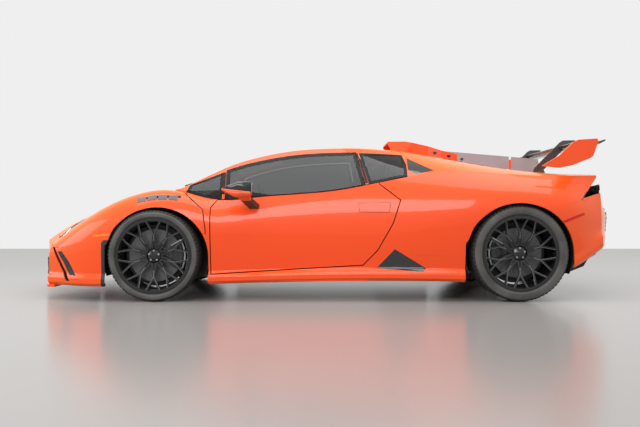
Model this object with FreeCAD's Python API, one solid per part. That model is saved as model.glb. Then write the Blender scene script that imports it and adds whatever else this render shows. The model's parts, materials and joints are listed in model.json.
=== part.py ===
"""A mid-engined track supercar with roof scoop, shark fin and rear wing, in separate pieces.

Millimetres. +X points to the tail, +Y to the car's right, +Z up. The origin lies on the floor,
below the middle of the car's length and width.
"""
import FreeCAD
import Part
import math
import os

from FreeCAD import Vector

# Overall sizes
WHEELBASE = 2620.0
FRONT_OVERHANG = 1084.5
REAR_OVERHANG = 844.5
HALF_WIDTH = 972.0

# Wheels
FRONT_TRACK = 1668.0
REAR_TRACK = 1620.0
FRONT_TYRE_R = 327.5
FRONT_TYRE_W = 245.0
REAR_TYRE_R = 345.5
REAR_TYRE_W = 305.0
BEAD_R = 254.0
FLANGE_R = 271.0
FLANGE_T = 7.0
RIM_INSET = 12.0
SPOKES = 10
SPOKE_NODE_R = 157.0
SPOKE_FORK = 10.8
SPOKE_PETAL = 13.0
SPOKE_W = 9.0
DISC_T = 34.0
DISC_FACE = 20.0
FRONT_DISC_R = 190.0
REAR_DISC_R = 180.0
HUB_R = 58.0
AXLE_R = 24.0
RUN_GAP = 0.5
KINGPIN_INSET = 60.0
BALL_HEIGHT = 150.0
BALL_R = 16.0
KINGPIN_R = 20.0

# Gaps
SHUT_GAP = 7.5
LID_GAP = 12.0
GLASS_GAP = 0.4
ARCH_GAP_FRONT = 20.0
ARCH_GAP_REAR = 14.0
SEAT_GAP = 0.3

# Wheel arches: their middle behind the axle and below it, and how much wider than high they are
ARCH_SHIFT_FRONT = 22.0
ARCH_SHIFT_REAR = -5.0
ARCH_DROP = 10.0
ARCH_STRETCH_FRONT = 12.0
ARCH_STRETCH_REAR = 20.0

# Wall thicknesses
PANEL_T = 20.0
DOOR_T = 112.0
ROOF_T = 34.0
GLASS_T = 6.0
FLOOR_T = 45.0
LINER_T = 4.0

# Heights
GROUND_CLEARANCE = 112.0
SCOOP_RISE = 86.0
WING_TOP = 1176.0

X_NOSE = -(FRONT_OVERHANG + WHEELBASE + REAR_OVERHANG) / 2
X_FRONT_AXLE = X_NOSE + FRONT_OVERHANG
X_REAR_AXLE = X_FRONT_AXLE + WHEELBASE
X_TAIL = -X_NOSE

# The axles and ends on the drawing from which the body's stations are taken
DRAWN_FRONT_AXLE = -1190.0
DRAWN_REAR_AXLE = 1430.0
DRAWN_END = 2274.5

FAR = 3000.0
CUT_DEPTH = 500.0
SPLITTER_T = 18.0


def station(drawn):
    """X on the car of a station on the drawing."""
    if drawn < DRAWN_FRONT_AXLE:
        return X_FRONT_AXLE + (drawn - DRAWN_FRONT_AXLE) * FRONT_OVERHANG / (DRAWN_END + DRAWN_FRONT_AXLE)
    if drawn > DRAWN_REAR_AXLE:
        return X_REAR_AXLE + (drawn - DRAWN_REAR_AXLE) * REAR_OVERHANG / (DRAWN_END - DRAWN_REAR_AXLE)
    return X_FRONT_AXLE + (drawn - DRAWN_FRONT_AXLE) * WHEELBASE / (DRAWN_REAR_AXLE - DRAWN_FRONT_AXLE)


def curve_along(points):
    """A natural cubic curve of value over X, through (drawn station, value), straight beyond its ends."""
    xs = [station(p[0]) for p in points]
    ys = [p[1] for p in points]
    last = len(xs) - 1
    step = [xs[i + 1] - xs[i] for i in range(last)]
    slope = [(ys[i + 1] - ys[i]) / step[i] for i in range(last)]
    diagonal = [1.0] * (last + 1)
    bend = [0.0] * (last + 1)
    for i in range(1, last):
        factor = step[i - 1] / diagonal[i - 1] if i > 1 else 0.0
        diagonal[i] = 2 * (step[i - 1] + step[i]) - factor * (step[i - 1] if i > 1 else 0.0)
        bend[i] = 6 * (slope[i] - slope[i - 1]) - factor * bend[i - 1]
    for i in range(last - 1, 0, -1):
        bend[i] = (bend[i] - step[i] * bend[i + 1]) / diagonal[i]

    def value(x):
        if x <= xs[0]:
            return ys[0] + (slope[0] - step[0] * bend[1] / 6) * (x - xs[0])
        if x >= xs[last]:
            return ys[last] + (slope[last - 1] + step[last - 1] * bend[last - 1] / 6) * (x - xs[last])
        i = max(k for k in range(last) if xs[k] <= x)
        a = (xs[i + 1] - x) / step[i]
        b = 1 - a
        cubic = ((a**3 - a) * bend[i] + (b**3 - b) * bend[i + 1]) * step[i] ** 2 / 6
        return a * ys[i] + b * ys[i + 1] + cubic

    return value


def width_along(points):
    """As curve_along, for half widths given as insets from the widest point."""
    inset = curve_along(points)
    return lambda x: HALF_WIDTH - inset(x)


# Feature curves of the body. Widths are insets from HALF_WIDTH.
low_z = curve_along([(-2000, 112), (-1560, 106), (-800, 124), (1000, 141), (1760, 218), (1890, 275), (2060, 372)])
blade_w = width_along([(-2000, 197), (-1800, 92), (-1560, 28), (-1190, 16), (-800, 28), (0, 34), (800, 27),
                       (1200, 10), (1800, 27), (2060, 142)])
valley_w = width_along([(-2000, 227), (-1800, 114), (-1560, 47), (-1190, 32), (-800, 64), (0, 74), (800, 57),
                        (1200, 27), (1800, 32), (2060, 147)])
wide_w = width_along([(-2000, 224), (-1800, 110), (-1560, 38), (-1190, 14), (-800, 42), (-300, 54), (300, 52),
                      (800, 27), (1200, 2), (1500, 0), (1800, 27), (2060, 172)])
wide_z = curve_along([(-2000, 300), (-1560, 400), (-1190, 480), (-800, 500), (0, 490), (700, 520), (1100, 600),
                      (1430, 640), (1800, 600), (2060, 520)])
edge_w = width_along([(-2000, 282), (-1800, 282), (-1560, 237), (-1320, 204), (-1100, 197), (-800, 154),
                      (-400, 122), (150, 120), (700, 157), (900, 172), (1320, 164), (1650, 172), (2060, 237)])
edge_z = curve_along([(-2000, 392), (-1880, 490), (-1760, 575), (-1560, 690), (-1320, 778), (-1190, 802),
                      (-1050, 795), (-800, 733), (-480, 745), (150, 801), (340, 836), (680, 905), (850, 934),
                      (1320, 922), (1650, 906), (2060, 912)])
rail_w = width_along([(-1050, 257), (-810, 300), (-670, 330), (-455, 366), (-240, 392), (0, 412), (300, 426),
                      (640, 432), (860, 440), (1100, 472), (1430, 517), (1700, 532), (2060, 542)])
rail_z = curve_along([(-1050, 806), (-810, 922), (-670, 988), (-455, 1056), (-240, 1100), (-90, 1117), (150, 1126),
                      (300, 1125), (440, 1115), (640, 1094), (860, 1062), (1100, 1025), (1430, 978), (1700, 945),
                      (2060, 915)])
bonnet_z = curve_along([(-2240, 362), (-2200, 392), (-2080, 478), (-1970, 545), (-1760, 640), (-1500, 718),
                        (-1250, 764), (-1050, 786)])
roof_z = curve_along([(-1250, 762), (-1050, 850), (-800, 945), (-400, 1070), (-150, 1124), (100, 1155), (300, 1162),
                      (500, 1152), (860, 1098), (1100, 1056), (1430, 1000), (1700, 958), (2060, 918)])

# Stations at which panels begin and end
X_NOSE_CORNER = station(-2000)
X_TAIL_CORNER = station(2060)
X_BONNET_END = station(-960)
X_FRONT_PANEL_END = station(-740)
X_COWL_SIDE = station(-1050)
X_COWL_MIDDLE = station(-1235)
X_SCREEN_TOP = station(-310)
X_LID_FRONT = station(556)
X_SIDE_SPLIT = station(640)
X_LID_REAR = station(1585)
X_DOOR_HINGE = station(-706)
Y_DOOR_HINGE = -911.0
DOOR_HINGE_HEIGHTS = (385.0, 540.0)
DOOR_PIN_R = 4.0
# How far the door reaches inwards from its hinge line, ahead of the hinge, to swing past the hinge post
DOOR_NOSE_DEPTH = 98.0

# Side view of the door's shut line, as stations and heights, from the belt's front round to its rear
DOOR_FRONT_TOP = (-742, 728)
DOOR_FRONT_SHOULDER = (-786, 670)
DOOR_FRONT_LOW = (-778, 200)
DOOR_SILL_MIDDLE = (0, 245)
DOOR_SILL_REAR = (307, 263)
DOOR_REAR_LOW = (410, 369)
DOOR_REAR_MIDDLE = (520, 562)
DOOR_REAR_HIGH = (575, 725)
DOOR_REAR_TOP = (428, 842)

NOSE_DEPTH = 250.0
NOSE_RAKE = 30.0
NOSE_POWER = 2.3
NOSE_ROUND = 0.14
TAIL_POWER = 3.0
TAIL_CREST_Z = 620.0
TAIL_BULGE = 21.0
TAIL_TUCK = 81.0
TAIL_RECESS = 100.0
BONNET_FLAT = 0.42
GLASS_TOP = 0.86
SHOULDER_POWER = 2.2
ROOF_POWER = 2.4
BELT_INSET = 14.0
BELT_DROP = 0.5

# Cross-section of the flank: heights of the blade, the valley and the fade of the belt
BLADE_RISE = 22.0
BLADE_FACE = 28.0
VALLEY_RISE = 45.0
BLADE_UNDERCUT = 28.0


def smooth(t):
    """An S-shaped step from 0 to 1."""
    t = min(max(t, 0.0), 1.0)
    return t * t * (3 - 2 * t)


def flank(x, s):
    """Half width and height of the flank. s: 0 lower edge, 1 to 2 blade, 3 valley, 4 widest, 5 shoulder."""
    low, blade, valley = low_z(x), blade_w(x), valley_w(x)
    valley_z = low + BLADE_RISE + BLADE_FACE + VALLEY_RISE
    if s <= 1:
        return blade - BLADE_UNDERCUT * (1 - s), low + BLADE_RISE * s
    if s <= 2:
        return blade, low + BLADE_RISE + BLADE_FACE * (s - 1)
    if s <= 3:
        t = s - 2
        return blade + (valley - blade) * smooth(t), low + BLADE_RISE + BLADE_FACE + VALLEY_RISE * t
    if s <= 4:
        t = s - 3
        return valley + (wide_w(x) - valley) * (1 - (1 - t) ** 2), valley_z + (wide_z(x) - valley_z) * t
    t = s - 4
    crest = smooth((station(-700) - x) / 300)
    rise = t + (math.sin(t * math.pi / 2) - t) * crest
    lean = max(0.0, 1 - rise**SHOULDER_POWER) ** (1 / (1 + crest))
    return edge_w(x) + (wide_w(x) - edge_w(x)) * lean, wide_z(x) + (edge_z(x) - wide_z(x)) * rise


def flank_point(x, s):
    w, z = flank(x, s)
    return Vector(x, -w, z)


def nose_x(share):
    """X of the nose in plan, a V with a rounded tip, at a share of its half width."""
    bend = math.hypot(share, NOSE_ROUND) - NOSE_ROUND
    return X_NOSE_CORNER - NOSE_DEPTH * (1 - bend / (math.hypot(1, NOSE_ROUND) - NOSE_ROUND))


def nose_point(v, s):
    """The nose's face. v: -1 left corner, 1 right corner. s as on the flank."""
    w, z = flank(X_NOSE_CORNER, s)
    low, high = low_z(X_NOSE_CORNER), edge_z(X_NOSE_CORNER)
    rise = (z - low) / (high - low)
    x = nose_x(v)
    middle_z = low + rise * (bonnet_height(x, v * edge_w(x)) - low)
    rake = NOSE_RAKE * (1 - rise) * (1 - abs(v) ** NOSE_POWER)
    return Vector(x + rake, v * w * edge_w(x) / edge_w(X_NOSE_CORNER), middle_z)


def bonnet_height(x, y):
    """Height of the bonnet between the two fender crests."""
    share = abs(y) / edge_w(x)
    return bonnet_z(x) + (edge_z(x) - bonnet_z(x)) * smooth((share - BONNET_FLAT) / (1 - BONNET_FLAT))


def bonnet_point(u, v):
    """u: 0 the nose's upper edge, 1 the bonnet's end. v: -1 left crest, 1 right crest."""
    x = nose_x(v) + u * (X_BONNET_END - nose_x(v))
    y = v * edge_w(x)
    return Vector(x, y, bonnet_height(x, y))


def belt(x):
    """Half width and height of the line where the glass meets the shoulder."""
    fade = 1 - smooth((x - station(400)) / 200)
    return edge_w(x) - BELT_INSET * fade, edge_z(x) - BELT_DROP * fade


def side_window_point(x, s):
    """s: 0 the belt, 1 the roof rail, on the left side."""
    w0, z0 = belt(x)
    bulge = 40 * s * (1 - s)
    return Vector(x, -(w0 + (rail_w(x) - w0) * s + bulge), z0 + (rail_z(x) - z0) * s + bulge)


def roof_point(x, v):
    """v: -1 the left roof rail, 1 the right one."""
    return Vector(x, v * rail_w(x), rail_z(x) + (roof_z(x) - rail_z(x)) * (1 - abs(v) ** ROOF_POWER))


def tail_lean(z):
    """How far the tail's face stands out at a height: it bulges, tucks in below and is set back above."""
    if z < TAIL_CREST_Z:
        return TAIL_BULGE - TAIL_TUCK * ((TAIL_CREST_Z - z) / 270) ** 2
    return TAIL_BULGE - TAIL_RECESS * smooth((z - TAIL_CREST_Z) / 120)


def tail_point(v, s):
    """The tail's face. v: -1 left corner, 1 right corner. s as on the flank."""
    w, z = flank(X_TAIL_CORNER, s)
    depth = station(2230) - X_TAIL_CORNER
    lean = tail_lean(z) * (1 - v**2)
    return Vector(X_TAIL_CORNER + depth * (1 - abs(v) ** TAIL_POWER) + lean, v * w, z)


# Solids from point grids

def spread(start, end, count):
    return [start + (end - start) * i / (count - 1) for i in range(count)]


def curve_through(points):
    curve = Part.BSplineCurve()
    curve.interpolate(Points=points, Parameters=[float(i) for i in range(len(points))])
    return curve


def face_through(grid):
    """A smooth face through a grid of points. Its borders depend only on their own rows of points."""
    rows = [curve_through(row) for row in grid]
    poles_across = [row.getPoles() for row in rows]
    columns = [curve_through([poles[k] for poles in poles_across]) for k in range(len(poles_across[0]))]
    poles = [list(line) for line in zip(*[column.getPoles() for column in columns])]
    surface = Part.BSplineSurface()
    surface.buildFromPolesMultsKnots(
        poles, columns[0].getMultiplicities(), rows[0].getMultiplicities(),
        columns[0].getKnots(), rows[0].getKnots(), False, False, columns[0].Degree, rows[0].Degree)
    return surface.toShape()


def solid_of(faces):
    shell = Part.makeShell(faces)
    shell.sewShape(0.001)
    solid = Part.makeSolid(shell if shell.ShapeType == "Shell" else shell.Shells[0])
    if solid.Volume < 0:
        solid.reverse()
    return solid


def skin(grids, rims, inwards, outwards=None):
    """A closed wall: the faces through the grids, the same moved by inwards(), and its rims."""
    outer = outwards or (lambda p: p)
    faces = []
    for grid in grids:
        faces.append(face_through([[outer(p) for p in row] for row in grid]))
        faces.append(face_through([[inwards(p) for p in row] for row in grid]))
    for rim in rims:
        near = curve_through([outer(p) for p in rim]).toShape()
        far = curve_through([inwards(p) for p in rim]).toShape()
        faces.append(Part.makeRuledSurface(near, far))
    return solid_of(faces)


def towards(core, thickness):
    """A map that moves a point by thickness towards core(point)."""
    def inwards(p):
        return p + (core(p) - p).normalize() * thickness
    return inwards


def grid_of(point, us, vs):
    return [[point(u, v) for v in vs] for u in us]


def border(grid):
    """The four border rows of a grid, first row, last row, first column, last column."""
    return [grid[0], grid[-1], [row[0] for row in grid], [row[-1] for row in grid]]


def mirrored(shape):
    return shape.mirror(Vector(0, 0, 0), Vector(0, 1, 0))


def outline_face(points, level, plane):
    """A flat face with the outline points, in plane "xz" at y=level or "xy" at z=level or "yz" at x=level."""
    place = {"xz": lambda a, b: Vector(a, level, b), "xy": lambda a, b: Vector(a, b, level),
             "yz": lambda a, b: Vector(level, a, b)}[plane]
    corners = [place(*p) for p in points]
    return Part.Face(Part.makePolygon(corners + [corners[0]]))


def side_prism(points, y0=-FAR, y1=0.0):
    """A prism through the left side, with its outline in side view."""
    return outline_face(points, y0, "xz").extrude(Vector(0, y1 - y0, 0))


def plan_prism(points, z0=0.0, z1=FAR):
    return outline_face(points, z0, "xy").extrude(Vector(0, 0, z1 - z0))


def front_prism(points, x0, x1):
    return outline_face(points, x0, "yz").extrude(Vector(x1 - x0, 0, 0))


def grown(points, by):
    """An outline moved outwards by a distance, for an anticlockwise list of points."""
    moved = []
    count = len(points)
    for i in range(count):
        before, here, after = points[i - 1], points[i], points[(i + 1) % count]
        d1 = Vector(here[0] - before[0], here[1] - before[1], 0).normalize()
        d2 = Vector(after[0] - here[0], after[1] - here[1], 0).normalize()
        out = Vector(d1.y + d2.y, -d1.x - d2.x, 0)
        scale = 2 / (1 + d1.dot(d2))
        moved.append((here[0] + out.x * by * scale / 2, here[1] + out.y * by * scale / 2))
    return moved


def box(x0, x1, y0, y1, z0, z1):
    corner = Vector(min(x0, x1), min(y0, y1), min(z0, z1))
    return Part.makeBox(abs(x1 - x0), abs(y1 - y0), abs(z1 - z0), corner)


def tube(start, end, radius):
    """A round bar between two points."""
    axis = end - start
    return Part.makeCylinder(radius, axis.Length, start, axis)


def rounded(shape, radius, direction=None):
    """A copy with its edges rounded, or only those along a direction."""
    edges = shape.Edges
    if direction is not None:
        edges = [e for e in edges if abs(e.tangentAt(e.FirstParameter).dot(direction)) > 0.999]
    return shape.makeFillet(radius, edges)


def fused(shapes):
    return shapes[0].fuse(shapes[1:]).removeSplitter()


# Outlines that several pieces share

def arch(axle_x, front):
    """A prism through the left side for a wheel arch: a half ellipse over straight sides."""
    tyre_r = FRONT_TYRE_R if front else REAR_TYRE_R
    shift, stretch = (ARCH_SHIFT_FRONT, ARCH_STRETCH_FRONT) if front else (ARCH_SHIFT_REAR, ARCH_STRETCH_REAR)
    middle_x, middle_z = axle_x + shift, tyre_r - ARCH_DROP
    high = tyre_r + (ARCH_GAP_FRONT if front else ARCH_GAP_REAR) + ARCH_DROP
    wide = high + stretch
    crown = [Vector(middle_x + wide * math.cos(math.radians(a)), -FAR, middle_z + high * math.sin(math.radians(a)))
             for a in range(0, 181, 15)]
    top = Part.BSplineCurve()
    top.interpolate(Points=crown, InitialTangent=Vector(0, 0, 1), FinalTangent=Vector(0, 0, -1))
    left, right, low = middle_x - wide, middle_x + wide, -FAR
    corners = [crown[-1], Vector(left, -FAR, low), Vector(right, -FAR, low), crown[0]]
    wire = Part.Wire([top.toShape()] + [Part.makeLine(p, q) for p, q in zip(corners, corners[1:])])
    return Part.Face(wire).extrude(Vector(0, FAR - CUT_DEPTH, 0))


def placed(*points):
    return [(station(a), z) for a, z in points]


def belt_line(start, end, rise, count=14):
    """Points along the belt between two stations, lifted by rise."""
    return [(x, belt(x)[1] + rise) for x in spread(station(start), station(end), count)]


def glass_top_line(start, end, count=14):
    """Points along the side glass's upper edge."""
    return [(x, side_window_point(x, GLASS_TOP).z) for x in spread(station(start), station(end), count)]


def door_outline():
    """Anticlockwise in side view, with the belt as its upper side."""
    return placed(DOOR_FRONT_SHOULDER, DOOR_FRONT_LOW, DOOR_SILL_MIDDLE, DOOR_SILL_REAR, DOOR_REAR_LOW,
                  DOOR_REAR_MIDDLE, DOOR_REAR_HIGH, DOOR_REAR_TOP, (428, 1000), (-742, 1000), DOOR_FRONT_TOP)


# Body panels

def front_core(p):
    return Vector(max(p.x, X_NOSE_CORNER - 40) + 8, p.y * 0.35, 330)


def front_clamshell():
    """Bonnet, both fenders and the bumper in one wall, cut for wheels, intakes and the windscreen's base."""
    us = spread(0, 1, 16)
    vs = spread(-1, 1, 25)
    side_x = [bonnet_point(u, 1).x for u in us] + spread(X_BONNET_END, X_FRONT_PANEL_END, 5)[1:]
    bands = [spread(0, 1, 3), spread(1, 2, 3), spread(2, 3, 5), spread(3, 5, 13)]
    grids = [grid_of(bonnet_point, us, vs)]
    rims = [[bonnet_point(1, v) for v in vs]]
    front_x = side_x[:len(us)]
    rear_x = side_x[len(us) - 1:]
    for band in bands:
        nose = grid_of(nose_point, vs, band)
        grids.append(nose)
        for side in (1, -1):
            turn = (lambda p: Vector(p.x, -p.y, p.z)) if side > 0 else (lambda p: p)
            for xs in (front_x, rear_x):
                grid = [[turn(flank_point(x, s)) for s in band] for x in xs]
                grids.append(grid)
                if band[0] == 0:
                    rims.append([row[0] for row in grid])
                if band[-1] == 5 and xs is rear_x:
                    rims.append([row[-1] for row in grid])
            rims.append([turn(flank_point(rear_x[-1], s)) for s in band])
        if band[0] == 0:
            rims.append([row[0] for row in nose])
    return skin(grids, rims, towards(front_core, PANEL_T))


def nose_cutters():
    """The big side intakes and the lower centre intake of the bumper, cut along X."""
    side = [(-690, 170), (-330, 150), (-300, 215), (-520, 300), (-690, 330)]
    middle = [(-270, 150), (270, 150), (250, 215), (-250, 215)]
    other = [(-y, z) for y, z in side]
    return [front_prism(o, X_NOSE - 100, X_NOSE_CORNER + 120) for o in (side, other, middle)]


def cowl_line(gap):
    """Plan points of the windscreen's base, left to right, moved forwards by gap."""
    points = []
    for v in spread(-1, 1, 13):
        y = v * edge_w(X_COWL_SIDE)
        points.append((X_COWL_MIDDLE + (X_COWL_SIDE - X_COWL_MIDDLE) * v**2 - gap, y))
    return points


NOSE_HINGE = (-2104.0, 165.0)
NOSE_HINGE_Y = 290.0
HINGE_PIN_R = 8.0


def nose_hinge_slots(half_width, rear):
    """The space of the two beams that carry the clamshell's hinge pins."""
    return [box(NOSE_HINGE[0] - 14, rear, side * NOSE_HINGE_Y - half_width, side * NOSE_HINGE_Y + half_width, 0,
                NOSE_HINGE[1] + 26) for side in (-1, 1)]


CLAM_SIDE_LINE = [(-1085, 870), (-985, 775), (-846, 655), (-824, 515), (-824, 485), (-900, 492), (-1000, 470)]


def clamshell_trim():
    """What the clamshell loses at its rear: a prism through each side below its side line, and the cowl."""
    line = placed(*CLAM_SIDE_LINE)
    region = line + [(line[-1][0], -100), (FAR, -100), (FAR, 2000), (line[0][0], 2000)]
    left = side_prism(list(reversed(region)), y1=-560)
    cowl = cowl_line(SHUT_GAP)
    cowl_cut = plan_prism(cowl + [(FAR, HALF_WIDTH), (FAR, -HALF_WIDTH)])
    return [left, mirrored(left), cowl_cut]


def both_sides(shape):
    return [shape, mirrored(shape)]


ARCH_TRIM = [(-1562, -100), (-1400, -100), (-1400, 440), (-1545, 440), (-1562, 420)]
CHEEK_SLOT = [(-1977, 386), (-1838, 142), (-1806, 142), (-1950, 379)]


def clamshell():
    tools = both_sides(arch(X_FRONT_AXLE, True)) + clamshell_trim() + nose_cutters()
    tools += both_sides(side_prism(placed(*CHEEK_SLOT), y1=-700))
    tools += both_sides(side_prism(grown(placed(*ARCH_TRIM), SEAT_GAP), y1=-700))
    return front_clamshell().cut(tools)


def arch_trims():
    """The black edge of each front arch, ahead of the wheel."""
    wall = flank_wall(station(-1600), station(-1380), [spread(0, 1, 3), spread(1, 2, 3), spread(2, 3, 5),
                                                     spread(3, 4.4, 9)], PANEL_T, 8)
    left = largest(wall.common([side_prism(placed(*ARCH_TRIM), y1=-700)]))
    left = largest(left.cut([arch(X_FRONT_AXLE, True)]))
    return Part.makeCompound([left, mirrored(left)])


def splitter():
    """The black lip below the nose, a flat blade that follows the nose in plan, with the hinge lugs."""
    half = blade_w(X_NOSE_CORNER)
    outer = [(nose_x(v) - 4 - 20.5 * (1 - smooth(abs(v) / 0.35)), v * half) for v in spread(-1, 1, 41)]
    rear_x = X_NOSE_CORNER + 60
    rear_half = blade_w(rear_x)
    top = low_z(rear_x) - SEAT_GAP
    corners = [(rear_x, rear_half), (rear_x, -rear_half)]
    blade = outline_face(outer + corners, top - SPLITTER_T, "xy").extrude(Vector(0, 0, SPLITTER_T))
    blade = blade.cut(nose_hinge_slots(16, FAR))
    x, z = NOSE_HINGE
    lugs = []
    for side in (-1, 1):
        for y in (side * NOSE_HINGE_Y - 19.5, side * NOSE_HINGE_Y + 19.5):
            lug = box(x - 12, x + 16, y - 3.5, y + 3.5, top - SPLITTER_T, z + 13)
            lugs.append(lug.cut(tube(Vector(x, y - 10, z), Vector(x, y + 10, z), HINGE_PIN_R + RUN_GAP)))
    return fused([blade] + lugs)


def nose_grilles():
    """The dark mesh panel behind the bumper's intakes, bent as the nose is."""
    vs = spread(-0.86, 0.86, 25)
    bands = [spread(1.2, 2, 3), spread(2, 3, 5), spread(3, 4.4, 7)]
    grids = [grid_of(nose_point, vs, band) for band in bands]
    rims = [[row[0] for row in grids[0]], [row[-1] for row in grids[-1]]]
    for grid in grids:
        rims += [grid[0], grid[-1]]
    mesh = skin(grids, rims, towards(front_core, PANEL_T + 8), towards(front_core, PANEL_T + SEAT_GAP))
    return mesh.cut(nose_hinge_slots(26, FAR))


def lamp_solid(point, us, vs, depth):
    grid = grid_of(point, us, vs)
    return skin([grid], border(grid), towards(front_core, -SEAT_GAP), towards(front_core, -depth))


def headlamps():
    """A slim lamp on each side of the nose's upper face."""
    left = lamp_solid(bonnet_point, spread(0.06, 0.24, 7), spread(-0.93, -0.62, 7), 3)
    return Part.makeCompound([left, mirrored(left)])


def fender_louvres():
    """A row of slats over the wheel on each fender's crest."""
    slats = []
    for k in range(4):
        us = spread(station(-1316 + 76 * k), station(-1252 + 76 * k), 4)
        slats.append(lamp_solid(flank_point, us, spread(4.56, 4.68, 4), 3))
    return Part.makeCompound(slats + [mirrored(slat) for slat in slats])


def body_core(p):
    return Vector(p.x, p.y * 0.35, 540)


def flank_wall(x0, x1, bands, thickness, count, core=body_core):
    """A wall of the left flank between two stations."""
    xs = spread(x0, x1, count)
    grids = [[[flank_point(x, s) for s in band] for x in xs] for band in bands]
    rims = [[row[0] for row in grids[0]], [row[-1] for row in grids[-1]]]
    for grid in grids:
        rims += [grid[0], grid[-1]]
    return skin(grids, rims, towards(core, thickness))


def door_core(p):
    """Doors are hollowed straight inwards, a little down at the belt."""
    return Vector(p.x, 0, p.z - 150)


def door_panel():
    """The left door, as thick as the whole door, with its upper edge along the belt and its hinge pockets."""
    bands = [spread(1, 2, 3), spread(2, 3, 5), spread(3, 5, 13)]
    wall = flank_wall(station(-840), station(640), bands, DOOR_T, 24, door_core)
    door = largest(wall.common(side_prism(door_outline())))
    for z in DOOR_HINGE_HEIGHTS:
        pocket = box(X_DOOR_HINGE - 150, X_DOOR_HINGE + 9, Y_DOOR_HINGE - 5.5, -600, z - 10, z + 10)
        bore = tube(Vector(X_DOOR_HINGE, Y_DOOR_HINGE, z - 32), Vector(X_DOOR_HINGE, Y_DOOR_HINGE, z + 32),
                    DOOR_PIN_R + RUN_GAP)
        for tool in (pocket, bore):
            door = door.cut([tool])
    swing_room = box(X_DOOR_HINGE - 170, X_DOOR_HINGE + 12, Y_DOOR_HINGE + DOOR_NOSE_DEPTH, -500, 0, 900)
    return largest(door.cut([swing_room]))


def door_gap():
    """The space of the door and its shut gap, to cut from its surroundings."""
    return side_prism(grown(door_outline(), SHUT_GAP))


def door_gap_below_belt():
    """The same, only up to the belt, to leave the windscreen's pillar whole."""
    low = placed(DOOR_FRONT_SHOULDER, DOOR_FRONT_LOW, DOOR_SILL_MIDDLE, DOOR_SILL_REAR, DOOR_REAR_LOW,
                 DOOR_REAR_MIDDLE, DOOR_REAR_HIGH, DOOR_REAR_TOP)
    top = belt_line(420, -735, 0)
    return side_prism(grown(low + top + placed(DOOR_FRONT_TOP), SHUT_GAP))


def door_hinge_arms():
    """The plates and pins on the left hinge post."""
    arms = []
    for z in DOOR_HINGE_HEIGHTS:
        arms.append(box(X_DOOR_HINGE - 6, X_DOOR_HINGE + 6, Y_DOOR_HINGE, -HINGE_POST_Y + 5, z - 4, z + 4))
        arms.append(tube(Vector(X_DOOR_HINGE, Y_DOOR_HINGE, z - 30), Vector(X_DOOR_HINGE, Y_DOOR_HINGE, z + 30),
                         DOOR_PIN_R))
    return arms


def mirror_housing():
    """The left mirror: a wedge-shaped head on an arm from the door."""
    head = side_prism(placed((-697, 797), (-590, 744), (-482, 754), (-476, 852), (-565, 853), (-640, 826)),
                      -1096, -965)
    head = rounded(head, 12, Vector(0, 1, 0))
    arm = loft([[Vector(station(a), -990, z) for a, z in ((-580, 740), (-510, 745), (-505, 765), (-580, 765))],
                [Vector(station(a), -880, z) for a, z in ((-500, 656), (-434, 654), (-434, 690), (-500, 696))]])
    return head.fuse(arm).cut([door_panel()])


def loft(sections):
    wires = [Part.makePolygon(points + [points[0]]) for points in sections]
    return Part.makeLoft(wires, True, True)


DOOR_GLASS_FRONT = -690
DOOR_GLASS_REAR_TOP = 268
DOOR_GLASS_REAR_LOW = 330
QUARTER_TIP_TOP = 640
QUARTER_TIP_LOW = 690
SHOULDER_TIP = 826
MULLION = 26.0


def door_window():
    """Side view of the door's glass."""
    low = belt_line(DOOR_GLASS_FRONT, DOOR_GLASS_REAR_LOW, -10)
    high = glass_top_line(DOOR_GLASS_REAR_TOP, DOOR_GLASS_FRONT)
    return low + high


def quarter_window():
    """Side view of the rear quarter glass."""
    low = belt_line(DOOR_GLASS_REAR_LOW + MULLION, QUARTER_TIP_LOW - 30, 6)
    high = glass_top_line(QUARTER_TIP_TOP - 20, DOOR_GLASS_REAR_TOP + MULLION)
    return low + high


def front_window():
    """Side view of the small fixed glass ahead of the door's."""
    low = belt_line(-985, DOOR_GLASS_FRONT - MULLION, 6)
    high = glass_top_line(DOOR_GLASS_FRONT - MULLION, -960)
    return low + high


def upper_grids(x0, x1, count):
    """Left window band, roof and right window band between two X."""
    xs = spread(x0, x1, count)
    left = [[side_window_point(x, s) for s in spread(0, 1, 7)] for x in xs]
    right = [[Vector(p.x, -p.y, p.z) for p in row] for row in left]
    top = [[roof_point(x, v) for v in spread(-1, 1, 17)] for x in xs]
    return left, top, right


def upper_wall(thickness):
    """The wall of the whole greenhouse, from the cowl to the engine lid."""
    left, top, right = upper_grids(X_COWL_SIDE - 190, X_SIDE_SPLIT - SEAT_GAP, 26)
    grids = [left, top, right]
    rims = [[row[0] for row in left], [row[0] for row in right]]
    for grid in grids:
        rims += [grid[0], grid[-1]]
    return skin(grids, rims, towards(body_core, thickness))


def screen_outline():
    """Plan view of the windscreen."""
    base = [(x, y) for x, y in cowl_line(-8)]
    base = [p for p in base if abs(p[1]) < 690]
    right = [(x, rail_w(x) - 34) for x in spread(X_COWL_SIDE + 40, X_SCREEN_TOP + 40, 8)]
    top = [(X_SCREEN_TOP + 40 * v**2, v * (rail_w(X_SCREEN_TOP + 40) - 60)) for v in spread(0.9, -0.9, 7)]
    left = [(x, -y) for x, y in reversed(right)]
    return base + right + top + left


def side_cut(outline):
    left = side_prism(outline, y1=-300)
    return [left, mirrored(left)]


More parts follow.
